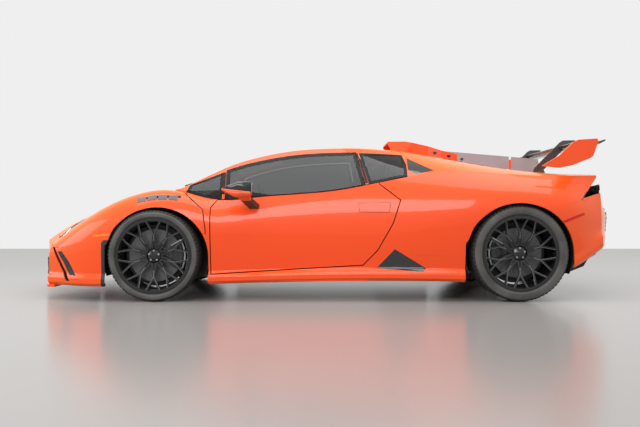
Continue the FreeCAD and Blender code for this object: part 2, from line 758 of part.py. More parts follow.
def roof_frame():
    """Roof, pillars and rails, with every window cut."""
    wall = upper_wall(ROOF_T)
    front, half = X_LID_FRONT - LID_GAP, rail_w(X_LID_FRONT)
    lid_cut = plan_prism([(front, -half), (FAR, -half), (FAR, half), (front, half)], 900)
    cowl = cowl_line(0)
    ahead = plan_prism(list(reversed(cowl)) + [(-FAR, -HALF_WIDTH), (-FAR, HALF_WIDTH)])
    door_hole = side_prism(grown(door_window(), SHUT_GAP), y1=-300)
    tools = [lid_cut, ahead, plan_prism(screen_outline(), 700), door_hole, mirrored(door_hole)]
    tools += side_cut(quarter_window()) + side_cut(front_window())
    tools += both_sides(door_gap_below_belt())
    return fused([largest(wall.cut(tools))] + lid_hinge_lugs())


def largest(shape):
    """The biggest solid of a cut shape."""
    return max(shape.Solids, key=lambda solid: solid.Volume)


def glass_wall():
    return upper_wall(GLASS_T)


def windscreen(wall):
    outline = list(reversed(screen_outline()))
    return largest(wall.common(plan_prism(grown(outline, -GLASS_GAP), 700)))


def quarter_glasses(wall):
    panes = []
    for outline in (quarter_window(), front_window()):
        pane = largest(wall.common(side_prism(grown(outline, -GLASS_GAP), y1=-300)))
        panes += [pane, mirrored(pane)]
    return Part.makeCompound(panes)


def door_glass(wall):
    return largest(wall.common(side_prism(grown(door_window(), -GLASS_GAP), y1=-300)))


BUMPER_LINE = [(1600, 640), (1652, 652), (1865, 730), (2100, 790)]


def bumper_region(gap=0.0):
    """Side view of the rear bumper: what lies behind the rear wheel and below its shut line."""
    line = [(x, z + gap) for x, z in placed(*BUMPER_LINE)]
    return [(line[0][0], -100), (FAR, -100), (FAR, line[-1][1])] + list(reversed(line))


SHOULDER_PANE = [(652, 1046), (648, 952), (700, 918), (835, 944)]
TAIL_NOTCH = [(2042, 896), (1901, 742), (1901, 690), (2200, 690), (2200, 896)]
TAIL_CORNER_CUT = [(2036, -790), (2100, -790), (2100, -590), (2058, -590)]


def rear_quarter():
    """Left rear quarter with shoulder, buttress and arch, from the door to the tail."""
    split = X_SIDE_SPLIT
    bands = [spread(2, 3, 5), spread(3, 5, 13)]
    front_x = spread(station(200), split, 9)
    rear_x = spread(split, X_TAIL_CORNER, 20)
    grids = [[[flank_point(x, s) for s in band] for x in xs] for band in bands for xs in (front_x, rear_x)]
    upper = [[side_window_point(x, s) for s in spread(0, 1, 7)] for x in rear_x]
    rims = [[row[0] for row in grids[0]], [row[0] for row in grids[1]], grids[0][0], grids[2][0],
            grids[1][-1], grids[3][-1], [row[-1] for row in grids[2]],
            upper[0], upper[-1], [row[-1] for row in upper]]
    wall = skin(grids + [upper], rims, towards(body_core, ROOF_T))
    window = side_prism(grown(door_window(), SHUT_GAP), y1=-300)
    for tool in (door_gap(), window, arch(X_REAR_AXLE, False), side_prism(bumper_region(SEAT_GAP)),
                 side_prism(grown(skirt_region(), SEAT_GAP)), side_prism(intake_outline()),
                 side_prism(grown(placed(*SHOULDER_PANE), SEAT_GAP), y1=-300),
                 side_prism(placed(*TAIL_NOTCH), y1=-600), plan_prism(placed(*TAIL_CORNER_CUT), 600)):
        wall = largest(wall.cut([tool]))
    return wall


def shoulder_panes():
    """The black triangle behind each quarter window."""
    grid = grid_of(side_window_point, spread(station(641), station(860), 8), spread(0, 1, 7))
    wall = skin([grid], border(grid), towards(body_core, 16), towards(body_core, 2))
    left = largest(wall.common([side_prism(placed(*SHOULDER_PANE), y1=-300)]))
    return Part.makeCompound([left, mirrored(left)])


def skirt_region():
    """Side view of the sill and of the fixed part of the wing behind the front wheel."""
    door = placed(DOOR_FRONT_LOW, DOOR_SILL_MIDDLE, DOOR_SILL_REAR, DOOR_REAR_LOW)
    rear = placed((430, 369), (700, 330), (1130, 330))
    front_top = placed((-784, 484), (-850, 484), (-960, 462), (-1060, 440))
    low = [(station(1130), -100), (station(-1060), -100)]
    return list(reversed(low)) + list(reversed(rear)) + list(reversed(door)) + front_top


def sill():
    """Left sill with its blade, the flange on the floor, and the wing's fixed lower part ahead of the door."""
    bands = [spread(0, 1, 3), spread(1, 2, 3), spread(2, 3, 5), spread(3, 4.4, 9)]
    wall = flank_wall(station(-1060), station(1130), bands, PANEL_T, 24)
    wall = largest(wall.common([side_prism(skirt_region())]))
    for tool in (arch(X_FRONT_AXLE, True), arch(X_REAR_AXLE, False), door_gap(), side_prism(intake_outline())):
        wall = largest(wall.cut([tool]))
    flange = box(station(-700), station(340), -HALF_WIDTH + 47, -TUB_HALF - SEAT_GAP, 146, 168)
    return wall.fuse(flange)


def cowl_panel():
    """The fixed painted corner between the clamshell, the door and the windscreen's foot."""
    wall = flank_wall(station(-1120), station(-730), [spread(3, 4, 5), spread(4, 5, 9)], PANEL_T, 10)
    line = placed(*CLAM_SIDE_LINE[:5])
    region = grown([(line[0][0], 900), *line, (station(-740), line[-1][1]), (station(-740), 900)], -SHUT_GAP)
    foot = 484 + SEAT_GAP
    region[5] = (region[5][0], foot)
    region[6] = (region[6][0], foot)
    return largest(largest(wall.common([side_prism(region)])).cut([door_gap()]))


def intake_outline():
    """Side view of the triangular intake at the sill's rear end."""
    return placed((535, 375), (405, 238), (740, 212), (760, 238))


def sill_intakes():
    """The black triangular intake at the rear end of each sill."""
    outline = grown(intake_outline(), -SEAT_GAP)
    bands = [spread(2, 3, 5), spread(3, 4.4, 9)]
    xs = spread(station(380), station(790), 8)
    grids = [[[flank_point(x, s) for s in band] for x in xs] for band in bands]
    rims = [[row[0] for row in grids[0]], [row[-1] for row in grids[-1]]]
    for grid in grids:
        rims += [grid[0], grid[-1]]
    plate = skin(grids, rims, towards(body_core, 20), towards(body_core, 8))
    left = largest(plate.common(side_prism(outline)))
    return Part.makeCompound([left, mirrored(left)])


def lid_point(x, v):
    return roof_point(x, v * (1 - SHUT_GAP / rail_w(x)))


LID_HINGE_X = X_LID_FRONT + 4.0
LID_HINGE_Y = 200.0
LID_PIN_R = 4.0
LID_HINGE_Z = roof_point(LID_HINGE_X, LID_HINGE_Y / rail_w(LID_HINGE_X)).z - PANEL_T / 2


def lid_hinge_lugs():
    """The roof's two hinge lugs with their pins, at the lid's front edge."""
    lugs = []
    for side in (-1, 1):
        y = side * LID_HINGE_Y
        front = X_LID_FRONT - LID_GAP - 8
        lugs.append(box(front, LID_HINGE_X + 5, y - 9, y + 9, LID_HINGE_Z - 5, LID_HINGE_Z + 5))
        lugs.append(tube(Vector(LID_HINGE_X, y - 28, LID_HINGE_Z), Vector(LID_HINGE_X, y + 28, LID_HINGE_Z), LID_PIN_R))
    return lugs


def lid_hinge_cutters():
    """The notches in the lid for the lugs, and the bores for their pins."""
    cutters = []
    for side in (-1, 1):
        y = side * LID_HINGE_Y
        cutters.append(box(X_LID_FRONT - 20, LID_HINGE_X + 12, y - 15, y + 15, LID_HINGE_Z - 60, LID_HINGE_Z + 40))
        cutters.append(tube(Vector(LID_HINGE_X, y - 30, LID_HINGE_Z), Vector(LID_HINGE_X, y + 30, LID_HINGE_Z),
                            LID_PIN_R + RUN_GAP))
    return cutters


# The scoop: half widths in plan, the share of its rise along the top, and its mouth
SCOOP_PLAN = [(540, 262), (690, 250), (882, 165), (1010, 62), (1150, 10)]
SCOOP_CREST = [(546, 0.75), (690, 1.0), (882, 1.0), (1008, 0.96), (1150, 0.93)]
SCOOP_FOOT = 571
SCOOP_WALL = 9.0
SCOOP_MOUTH_END = 830


def scoop():
    """The roof scoop, a wedge that narrows to the fin, with an open mouth."""
    half = placed(*SCOOP_PLAN)
    plan = half + [(x, -y) for x, y in reversed(half)]
    top = [(station(a), roof_z(station(a)) + share * SCOOP_RISE) for a, share in SCOOP_CREST]
    foot = [(x, roof_z(x) - 13) for x in spread(station(SCOOP_FOOT), station(1150), 8)]
    lip = (top[0][0] + 1, top[0][1] - 12)
    profile = [lip, (foot[0][0], roof_z(foot[0][0]))] + foot + list(reversed(top))
    crown = top[1][1]
    floor = roof_z(station(1150)) - 60
    tapered = [(-300, floor), (300, floor), (222, crown + 1), (-222, crown + 1)]
    body = plan_prism(list(reversed(plan)), floor, crown + 10)
    body = body.common(side_prism(profile, -FAR, FAR))
    body = body.common(front_prism(tapered, station(500), station(1200)))
    return body.cut([scoop_mouth(top)])


def scoop_mouth(top):
    """The hollow of the scoop, which narrows as its walls do."""
    front, end = station(500), station(SCOOP_MOUTH_END)
    low, high = roof_z(station(SCOOP_FOOT)) + 5, top[0][1] - SCOOP_WALL
    mouth = front_prism([(-236, low), (236, low), (212, high), (-212, high)], front, end)
    ceiling = roof_z(end) + SCOOP_RISE - 1.5 * SCOOP_WALL
    mouth = mouth.common(side_prism([(front, low), (end, low), (end, ceiling), (top[1][0], high), (front, high)], -FAR, FAR))
    half = [(front, 240), (station(690), 238), (end, 174)]
    return mouth.common(plan_prism(list(reversed(half + [(x, -y) for x, y in reversed(half)]))))


def engine_lid():
    """The cover over the engine with its roof scoop, hinged at the front."""
    xs = spread(X_LID_FRONT, X_LID_REAR, 14)
    grid = grid_of(lid_point, xs, spread(-1, 1, 17))
    lid = skin([grid], border(grid), towards(body_core, PANEL_T)).fuse(scoop())
    for cutter in lid_hinge_cutters():
        lid = lid.cut([cutter])
    return largest(lid)


FIN_TOP = [(1000, 1156), (1828, 1086)]
FIN_HALF = 7.0
# The lid's rear edge swings back a little as it rises past the fixed fin
FIN_SWING_GAP = 20.0


def fin_height(x):
    (x0, z0), (x1, z1) = placed(*FIN_TOP)
    return z0 + (z1 - z0) * (x - x0) / (x1 - x0)


def fin_plate(x0, x1, rear_foot):
    """A piece of the shark fin between two X, set 6 mm into the panel below it."""
    foot = [(x, roof_z(x) - 6) for x in spread(x0, x1, 8)]
    top = [(x1 - rear_foot, fin_height(x1 - rear_foot)), (x0, fin_height(x0))]
    return side_prism(foot + top, -FIN_HALF, FIN_HALF)


def lid_fin(lid):
    """The shark fin on the middle of the lid."""
    return largest(fin_plate(station(1010), X_LID_REAR - 1, 0).cut([lid]))


def deck_fin(deck):
    """The fin's fixed rear end, on the tail panel."""
    return largest(fin_plate(X_LID_REAR + FIN_SWING_GAP, station(1850), 22).cut([deck]))


def rear_deck():
    """The fixed tail panel behind the lid, up to the ducktail's edge."""
    def deck_point(u, v):
        x0 = X_LID_REAR + SHUT_GAP
        end = X_TAIL_CORNER + 90 * (1 - v**2)
        x = x0 + u * (end - x0)
        inside = min(x, X_TAIL_CORNER)
        p = roof_point(inside, v * (1 - GLASS_GAP / rail_w(inside)))
        return Vector(x, p.y, p.z)
    grid = grid_of(deck_point, spread(0, 1, 10), spread(-1, 1, 17))
    return skin([grid], border(grid), towards(body_core, PANEL_T))


def tail_core(p):
    return Vector(min(p.x, X_TAIL_CORNER + 20) - 8, p.y * 0.35, 560)


def rear_bumper():
    """The rear bumper round both corners, open in the middle for the grille."""
    bands = [spread(0, 1, 3), spread(1, 2, 3), spread(2, 3, 5), spread(3, 4.66, 13)]
    xs = spread(station(1600), X_TAIL_CORNER, 8)
    vs = spread(-1, 1, 21)
    grids = []
    rims = []
    for band in bands:
        tail = grid_of(tail_point, vs, band)
        grids.append(tail)
        for side in (1, -1):
            grid = [[Vector(x, side * flank(x, s)[0], flank(x, s)[1]) for s in band] for x in xs]
            grids.append(grid)
            rims.append(grid[0])
            if band[0] == 0:
                rims.append([row[0] for row in grid])
            if band[-1] > 4:
                rims.append([row[-1] for row in grid])
        if band[0] == 0:
            rims.append([row[0] for row in tail])
        if band[-1] > 4:
            rims.append([row[-1] for row in tail])
    wall = skin(grids, rims, towards(tail_core, PANEL_T))
    opening = front_prism([(-560, 330), (560, 330), (600, 640), (500, 700), (-500, 700), (-600, 640)],
                          X_TAIL_CORNER - 100, FAR)
    above = side_prism([(station(1500), 2000)] + placed(*BUMPER_LINE)
                          + [(FAR, placed(*BUMPER_LINE)[-1][1]), (FAR, 2000)], -FAR, FAR)
    for tool in [above, opening] + both_sides(arch(X_REAR_AXLE, False)):
        wall = largest(wall.cut([tool]))
    return wall


EXHAUST_R = 62.0
EXHAUST_Y = 150.0
EXHAUST_Z = 560.0


def tail_layer(vs, bands, near, far):
    """A plate behind the tail's face, between two depths."""
    grids = [grid_of(tail_point, vs, band) for band in bands]
    rims = [[row[0] for row in grids[0]], [row[-1] for row in grids[-1]]]
    for grid in grids:
        rims += [grid[0], grid[-1]]
    return skin(grids, rims, towards(tail_core, far), towards(tail_core, near))


GRILLE_SEAT = 3.5
GRILLE_T = 6.0


def rear_grille():
    """The dark mesh panel between the tail's corners, with holes for the exhausts."""
    near = PANEL_T + GRILLE_SEAT
    plate = tail_layer(spread(-0.93, 0.93, 21), [spread(3.0, 4.88, 17)], near, near + GRILLE_T)
    holes = [tube(Vector(X_TAIL_CORNER - 300, y, EXHAUST_Z), Vector(FAR, y, EXHAUST_Z), EXHAUST_R + SEAT_GAP)
             for y in (-EXHAUST_Y, EXHAUST_Y)]
    return plate.cut(holes)


def tail_lamps():
    """A lamp on each side, under the ducktail."""
    left = tail_layer(spread(-0.92, -0.5, 9), [spread(4.74, 4.84, 4)], 6, PANEL_T)
    return Part.makeCompound([left, mirrored(left)])


def exhausts():
    pipes = []
    for y in (-EXHAUST_Y, EXHAUST_Y):
        outer = tube(Vector(X_TAIL_CORNER - 40, y, EXHAUST_Z), Vector(X_TAIL, y, EXHAUST_Z), EXHAUST_R)
        inner = tube(Vector(X_TAIL_CORNER - 20, y, EXHAUST_Z), Vector(FAR, y, EXHAUST_Z), EXHAUST_R - 6)
        pipes.append(outer.cut(inner))
    return Part.makeCompound(pipes)


def diffuser():
    """The rising underbody behind the rear axle, with upright fins and a post up to the mesh panel."""
    x0, x1 = station(1760), station(2105)
    profile = [(x0, 120), (x1, 318), (x1, 344), (x0, 146)]
    plate = side_prism(profile, -560, 560)
    fin = [(x0 + 40, 128), (station(2040), 222), (x1, 330), (x0 + 40, 140)]
    fins = [side_prism(fin, y - 5, y + 5) for y in (-480, -290, -100, 100, 290, 480)]
    stays = [box(X_REAR_AXLE + 380, X_REAR_AXLE + 410, y - 15, y + 15, 140, 220 - SEAT_GAP) for y in (-330, 330)]
    return fused([plate] + fins + stays)


WING_END = [(1590, 971), (1713, 957), (1802, 974), (1938, 1028), (1955, 1044), (1982, 1121), (1987, 1167),
            (1849, 1158), (1813, 1142), (1713, 1046)]
WING_HALF_SPAN = 905.0
WING_END_T = 16.0


WING_SECTION = [(1850, 1146), (1866, 1130), (1905, 1122), (1990, 1128), (2060, 1144), (2103, 1166),
                (2105, WING_TOP), (2098, WING_TOP), (2052, 1162), (1970, 1152), (1880, 1154), (1856, 1152)]
WING_MIDDLE_HALF = 760.0
WING_END_REAR = 1998


def rear_wing():
    """The main plane between its two ends."""
    return side_prism(placed(*WING_SECTION), -WING_MIDDLE_HALF, WING_MIDDLE_HALF)


def wing_ends():
    """The outer ends of the plane, each with its downturned plate."""
    inner = -WING_MIDDLE_HALF - SEAT_GAP
    plane = side_prism(placed(*WING_SECTION), -WING_HALF_SPAN, inner)
    plane = plane.common(box(0, station(WING_END_REAR), -FAR, FAR, 0, FAR))
    plate = side_prism(placed(*WING_END), -WING_HALF_SPAN - WING_END_T, -WING_HALF_SPAN + 4)
    left = fused([plane, plate])
    return Part.makeCompound([left, mirrored(left)])


def wing_strut():
    """The left swan-necked plate with its brace, from the deck to the top of the main plane."""
    neck = [(1635, 915), (1765, 915), (1740, 970), (1905, 1140), (1928, 1158), (1980, 1168), (1985, 1200),
            (1890, 1198), (1866, 1184), (1668, 985)]
    brace = [(1780, 982), (1895, 900), (1925, 900), (1800, 996), (1785, 1012)]
    return fused([side_prism(placed(*neck), -457, -443), side_prism(placed(*brace), -455, -445)])


# Chassis and cabin

CABIN_FRONT = -900.0
CABIN_REAR = 470.0
TUB_HALF = 778.0
HINGE_POST_Y = 775.0
SEAT_MIDDLE = 370.0


def tub():
    """Floor, inner sills, footwell, tunnel, rear bulkhead and the doors' hinge posts, in one piece."""
    x0, x1 = station(CABIN_FRONT), station(CABIN_REAR)
    z0 = GROUND_CLEARANCE + 30
    nose = box(x0 - 100, x0 + 120, -500, 500, z0, z0 + FLOOR_T)
    floor = box(x0 + 120, x1, -TUB_HALF, TUB_HALF, z0, z0 + FLOOR_T)
    sill_left = box(x0 + 130, x1 + 60, -TUB_HALF, -700, z0, z0 + 150)
    front = box(x0 - 100, x0 - 70, -500, 500, z0, 690)
    rear = box(x1, x1 + 30, -560, 560, z0, 1000)
    tunnel = box(x0 - 80, x1, -90, 90, z0, 420)
    post = box(X_DOOR_HINGE - 20, X_DOOR_HINGE + 20, -HINGE_POST_Y, -740, z0, 615)
    arms = door_hinge_arms()
    left = [sill_left, post] + arms
    return fused([nose, floor, front, rear, tunnel] + left + [mirrored(p) for p in left])


def seats():
    shells = []
    for y in (-SEAT_MIDDLE, SEAT_MIDDLE):
        x = station(-60)
        z = GROUND_CLEARANCE + 30 + FLOOR_T + SEAT_GAP
        cushion = box(x - 300, x + 200, y - 235, y + 235, z, z + 130)
        back = side_prism([(x + 90, z + 100), (x + 330, z + 560), (x + 420, z + 800), (x + 470, z + 790),
                           (x + 400, z + 500), (x + 200, z)], y - 225, y + 225)
        shells.append(rounded(cushion, 30, Vector(0, 1, 0)).fuse(back))
    return Part.makeCompound(shells)


def dashboard():
    x = station(-790)
    profile = [(x - 20, 640), (x + 60, 560), (x + 230, 560), (x + 270, 690), (x + 200, 745), (x - 20, 790)]
    board = side_prism(profile, -620, 620)
    beam = box(X_DOOR_HINGE - 15, X_DOOR_HINGE + 15, -740 + SEAT_GAP, 740 - SEAT_GAP, 570, 600)
    return fused([board, beam])


def steering_wheel(board):
    """The wheel on its column, which ends at the dashboard."""
    centre = Vector(station(-420), -SEAT_MIDDLE, 690)
    axis = Vector(math.cos(math.radians(20)), 0, math.sin(math.radians(20)))
    ring = Part.makeTorus(172, 15, centre, axis)
    hub = Part.makeCylinder(45, 30, centre - axis * 15, axis)
    bar = tube(centre - Vector(0, 170, 0), centre + Vector(0, 170, 0), 10)
    column = tube(centre, centre - axis * 160, 22)
    wheel = largest(ring.fuse([hub, bar, column]).cut(board))
    wheel.translate(axis * SEAT_GAP)
    return wheel


ENGINE_BASE = 285.0


def engine_block():
    return box(station(700), station(1240), -300, 300, ENGINE_BASE, 700)


def subframe(axle_x, z, front):
    """Rails, cross members and wishbones that carry the uprights."""
    half = 330.0
    tyre_r = FRONT_TYRE_R if front else REAR_TYRE_R
    track = FRONT_TRACK if front else REAR_TRACK
    if front:
        ends = (axle_x - 420, station(CABIN_FRONT) - 100 - SEAT_GAP)
    else:
        ends = (station(CABIN_REAR) + 30 + SEAT_GAP, axle_x + 420)
    rails = [box(*ends, side * half - 25, side * half + 25, z - 30, z + 30) for side in (-1, 1)]
    top = z + 30 if front else ENGINE_BASE - SEAT_GAP
    reach = liner_inner(front) - SEAT_GAP
    crosses = [box(axle_x - 325, axle_x - 275, -reach, reach, z - 30, top)]
    crosses.append(box(axle_x + 120, axle_x + 170, -half, half, z - 30, z + 30))
    if not front:
        crosses.append(box(axle_x - 600, axle_x - 550, -half, half, z - 30, top))
        crosses.append(box(axle_x + 360, axle_x + 410, -half, half, z - 30, z + 30))
    arms = []
    pin_y = track / 2 - KINGPIN_INSET
    for side in (-1, 1):
        for up, inner_z in ((-1, z), (1, z + 190)):
            ball = Vector(axle_x, side * pin_y, tyre_r + up * (BALL_HEIGHT + BALL_R + SEAT_GAP))
            arms.append(Part.makeSphere(BALL_R, ball))
            for dx in (-150, 150):
                arms.append(tube(Vector(axle_x + dx, side * (half - 5), inner_z), ball, 11))
    posts = [box(axle_x + dx - 18, axle_x + dx + 18, side * half - 20, side * half + 20, z, z + 205)
             for side in (-1, 1) for dx in (-150, 150)]
    pieces = rails + crosses + arms + posts
    if front:
        pieces += nose_hinge_beams(axle_x - 420, z)
    return fused(pieces)


def nose_hinge_beams(rear_x, z):
    """Two beams forward from the rails to the pins of the clamshell's hinge."""
    x, pin_z = NOSE_HINGE
    beams = []
    for side in (-1, 1):
        y = side * NOSE_HINGE_Y
        beams.append(side_prism([(x - 10, pin_z - 10), (rear_x + 20, z - 20), (rear_x + 20, z + 10), (x - 10, pin_z + 10)],
                                y - 10, y + 10))
        beams.append(box(rear_x - 20, rear_x + 30, y - 10, side * 330, z - 20, z + 10))
        beams.append(tube(Vector(x, y - 24, pin_z), Vector(x, y + 24, pin_z), HINGE_PIN_R))
    return beams


def liner_inner(front):
    """Distance of a liner's inner wall from the middle plane."""
    if front:
        return FRONT_TRACK / 2 - FRONT_TYRE_W / 2 - 175
    return REAR_TRACK / 2 - REAR_TYRE_W / 2 - 40


def liner(axle_x, front):
    """The left wheel house, a shell over the tyre with an inner wall."""
    tyre_r = FRONT_TYRE_R if front else REAR_TYRE_R
    radius = tyre_r + (56 if front else 42)
    outer_y = -(HALF_WIDTH - (125 if front else 77))
    inner_y = -liner_inner(front)
    centre = Vector(axle_x, outer_y, tyre_r)
    drum = Part.makeCylinder(radius + LINER_T, inner_y - outer_y, centre, Vector(0, 1, 0))
    hole = Part.makeCylinder(radius, inner_y - outer_y - LINER_T, centre, Vector(0, 1, 0))
    below = box(axle_x - 500, axle_x + 500, outer_y - 5, inner_y + 5, -300, tyre_r - 150)
    axle_hole = Part.makeCylinder(190, 400, Vector(axle_x, inner_y - 200, tyre_r), Vector(0, 1, 0))
    return drum.cut([hole, below, axle_hole])


def arch_liners():
    front, rear = liner(X_FRONT_AXLE, True), liner(X_REAR_AXLE, False)
    return Part.makeCompound([front, mirrored(front), rear, mirrored(rear)])


def knuckle(front):
    """Left upright with its stub axle and brake caliper."""
    axle_x = X_FRONT_AXLE if front else X_REAR_AXLE
    tyre_r = FRONT_TYRE_R if front else REAR_TYRE_R
    disc_r = FRONT_DISC_R if front else REAR_DISC_R
    middle_y = -(FRONT_TRACK if front else REAR_TRACK) / 2
    turn = Vector(0, 1, 0)

    def ring_at(depth, length, radius):
        """A round block on the axle, from a depth inside the wheel's middle plane outwards."""
        return Part.makeCylinder(radius, length, Vector(axle_x, middle_y + depth - length, tyre_r), turn)

    pin = KINGPIN_INSET
    face = DISC_T - DISC_FACE
    boss = ring_at(pin + 20, 40, 60)
    foot = Vector(axle_x, middle_y + pin, tyre_r)
    post = tube(foot - Vector(0, 0, BALL_HEIGHT), foot + Vector(0, 0, BALL_HEIGHT), KINGPIN_R)
    axle = ring_at(pin, pin + 48, AXLE_R)
    around = ring_at(face + 22, DISC_T + 44, disc_r + 30)
    inside = ring_at(face + 22, DISC_T + 44, disc_r - 55)
    slot = ring_at(face + 4, DISC_T + 8, disc_r + 6)
    side = 1 if front else -1
    sector = side_prism([(axle_x, tyre_r), (axle_x + side * 300, tyre_r - 140), (axle_x + side * 300, tyre_r + 190)])
    caliper = around.cut([inside, slot]).common(sector)
    web = box(axle_x, axle_x + side * (disc_r + 10), middle_y + face + 24, middle_y + pin, tyre_r - 30, tyre_r + 30)
    bridge = box(axle_x + side * (disc_r - 40), axle_x + side * (disc_r + 10), middle_y + face + 10, middle_y + pin,
                 tyre_r - 30, tyre_r + 30)
    return fused([boss, post, axle, web, bridge, caliper])


# Wheels

def revolved(profile, axle_x, middle_y, tyre_r):
    """A ring turned about the axle, from (y outwards, radius) points."""
    points = [Vector(axle_x, middle_y - a, tyre_r + r) for a, r in profile]
    face = Part.Face(Part.makePolygon(points + [points[0]]))
    return face.revolve(Vector(axle_x, 0, tyre_r), Vector(0, 1, 0), 360)


def tyre(axle_x, middle_y, radius, width):
    half = width / 2
    bead = half - RIM_INSET - FLANGE_T - SEAT_GAP
    side = [(-bead, BEAD_R), (-bead, FLANGE_R + 2), (-half + 4, FLANGE_R + 10), (-half, FLANGE_R + 24),
            (-half + 2, radius - 22), (-half + 18, radius - 4)]
    profile = side + [(0, radius)] + [(-a, r) for a, r in reversed(side)]
    return revolved(profile, axle_x, middle_y, radius)


def rim(axle_x, middle_y, radius, width):
    """Barrel with a flange each side, and crossing spokes from the hub to the edge."""
    half = width / 2 - RIM_INSET
    seat = BEAD_R - SEAT_GAP
    well = half - FLANGE_T
    barrel = [(-half, FLANGE_R), (-well, FLANGE_R), (-well, seat), (well, seat), (well, FLANGE_R), (half, FLANGE_R),
              (half, seat - 4), (half - 30, seat - 14), (0, seat - 22), (-half, seat - 14)]
    bore = AXLE_R + RUN_GAP
    start = DISC_FACE + SEAT_GAP
    hub = [(start, bore), (50, bore), (50, 0), (half - 26, 0), (half - 26, 24), (half - 40, 48), (half - 62, HUB_R + 8),
           (start, HUB_R + 8)]
    dish = [(half - 34, HUB_R - 12), (half - 22, SPOKE_NODE_R), (half - 2, seat - 4), (half - 26, seat - 4),
            (half - 46, SPOKE_NODE_R), (half - 66, HUB_R - 12)]
    spokes = outline_face(spoke_outline(axle_x, radius, seat), middle_y - half, "xz").extrude(Vector(0, 80, 0))
    turned = []
    for k in range(SPOKES):
        spoke = spokes.copy()
        spoke.rotate(Vector(axle_x, 0, radius), Vector(0, 1, 0), 360.0 * k / SPOKES)
        turned.append(spoke)
    dished = fused(turned).common(revolved(dish, axle_x, middle_y, radius))
    return fused([revolved(barrel, axle_x, middle_y, radius), revolved(hub, axle_x, middle_y, radius), dished])


def spoke_outline(axle_x, axle_z, seat):
    """Side view of one crossing pair: two blades from the hub to a node, and two on to the edge."""
    def at(radius, degrees, across=0.0):
        a = math.radians(degrees)
        return axle_x + radius * math.sin(a) + across * math.cos(a), axle_z + radius * math.cos(a) - across * math.sin(a)
    w = SPOKE_W
    foot, tip = HUB_R - 6, seat - 2
    return [at(foot, -SPOKE_PETAL, -w), at(SPOKE_NODE_R, 0, -w), at(tip, -SPOKE_FORK, -w * 0.7), at(tip, -SPOKE_FORK, w * 0.7),
            at(SPOKE_NODE_R + 1.6 * w, 0), at(tip, SPOKE_FORK, -w * 0.7), at(tip, SPOKE_FORK, w * 0.7), at(SPOKE_NODE_R, 0, w),
            at(foot, SPOKE_PETAL, w), at(foot, SPOKE_PETAL, -w), at(SPOKE_NODE_R - 2.2 * w, 0), at(foot, -SPOKE_PETAL, w)]


def brake_disc(axle_x, track, tyre_r, disc_r):
    bore = AXLE_R + RUN_GAP
    back = DISC_FACE - DISC_T
    profile = [(back, bore), (DISC_FACE, bore), (DISC_FACE, disc_r), (back, disc_r)]
    return revolved(profile, axle_x, -track / 2, tyre_r)


def main():
    os.makedirs("parts", exist_ok=True)
    pieces = {}
    pieces["front_clamshell"] = largest(clamshell())
    pieces["front_splitter"] = splitter()
    pieces["nose_grilles"] = nose_grilles()
    pieces["headlamps"] = headlamps()
    pieces["fender_louvres"] = fender_louvres()
    pieces["arch_trims"] = arch_trims()
    glass = glass_wall()
    left = {"door_panel": door_panel(), "door_glass": door_glass(glass), "mirror": largest(mirror_housing()),
            "rear_quarter": rear_quarter(), "sill": sill()}
    for name, shape in left.items():
        pieces[name + "_left"] = shape
        pieces[name + "_right"] = mirrored(shape)
    pieces["roof_frame"] = roof_frame()
    pieces["windscreen"] = windscreen(glass)
    pieces["quarter_glass"] = quarter_glasses(glass)
    pieces["sill_intakes"] = sill_intakes()
    corner = cowl_panel()
    pieces["cowl_panels"] = Part.makeCompound([corner, mirrored(corner)])
    pieces["engine_lid"] = engine_lid()
    pieces["lid_fin"] = lid_fin(pieces["engine_lid"])
    pieces["rear_deck"] = rear_deck()
    pieces["deck_fin"] = deck_fin(pieces["rear_deck"])
    pieces["shoulder_panes"] = shoulder_panes()
    pieces["rear_bumper"] = rear_bumper()
    pieces["rear_grille"] = rear_grille()
    pieces["tail_lamps"] = tail_lamps()
    pieces["exhausts"] = exhausts()
    pieces["diffuser"] = diffuser()
    pieces["rear_wing"] = rear_wing()
    pieces["wing_ends"] = wing_ends()
    strut = wing_strut()
    for other in ("rear_wing", "rear_deck", "rear_quarter_left"):
        strut = largest(strut.cut([pieces[other]]))
    pieces["wing_struts"] = Part.makeCompound([strut, mirrored(strut)])
    pieces["tub"] = tub()
    pieces["seats"] = seats()
    pieces["dashboard"] = dashboard()
    pieces["steering_wheel"] = steering_wheel(pieces["dashboard"])
    pieces["engine_block"] = engine_block()
    pieces["front_subframe"] = subframe(X_FRONT_AXLE, 230, True)
    pieces["rear_subframe"] = subframe(X_REAR_AXLE, 250, False)
    pieces["arch_liners"] = arch_liners()
    front_knuckle, rear_knuckle = knuckle(True), knuckle(False)
    pieces["knuckle_front_left"] = front_knuckle
    pieces["knuckle_front_right"] = mirrored(front_knuckle)
    pieces["rear_uprights"] = Part.makeCompound([rear_knuckle, mirrored(rear_knuckle)])
    for end, axle_x, track, radius, width, disc_r in (
            ("front", X_FRONT_AXLE, FRONT_TRACK, FRONT_TYRE_R, FRONT_TYRE_W, FRONT_DISC_R),
            ("rear", X_REAR_AXLE, REAR_TRACK, REAR_TYRE_R, REAR_TYRE_W, REAR_DISC_R)):
        wheel = {"tyre": tyre(axle_x, -track / 2, radius, width), "rim": rim(axle_x, -track / 2, radius, width),
                 "disc": brake_disc(axle_x, track, radius, disc_r)}
        for name, shape in wheel.items():
            pieces[name + "_" + end + "_left"] = shape
            pieces[name + "_" + end + "_right"] = mirrored(shape)
    for name, shape in pieces.items():
        print(name, shape.isValid(), len(shape.Solids), round(shape.Volume / 1e6, 2))
        shape.exportStep("parts/" + name + ".step")


if __name__ == "__main__":
    main()
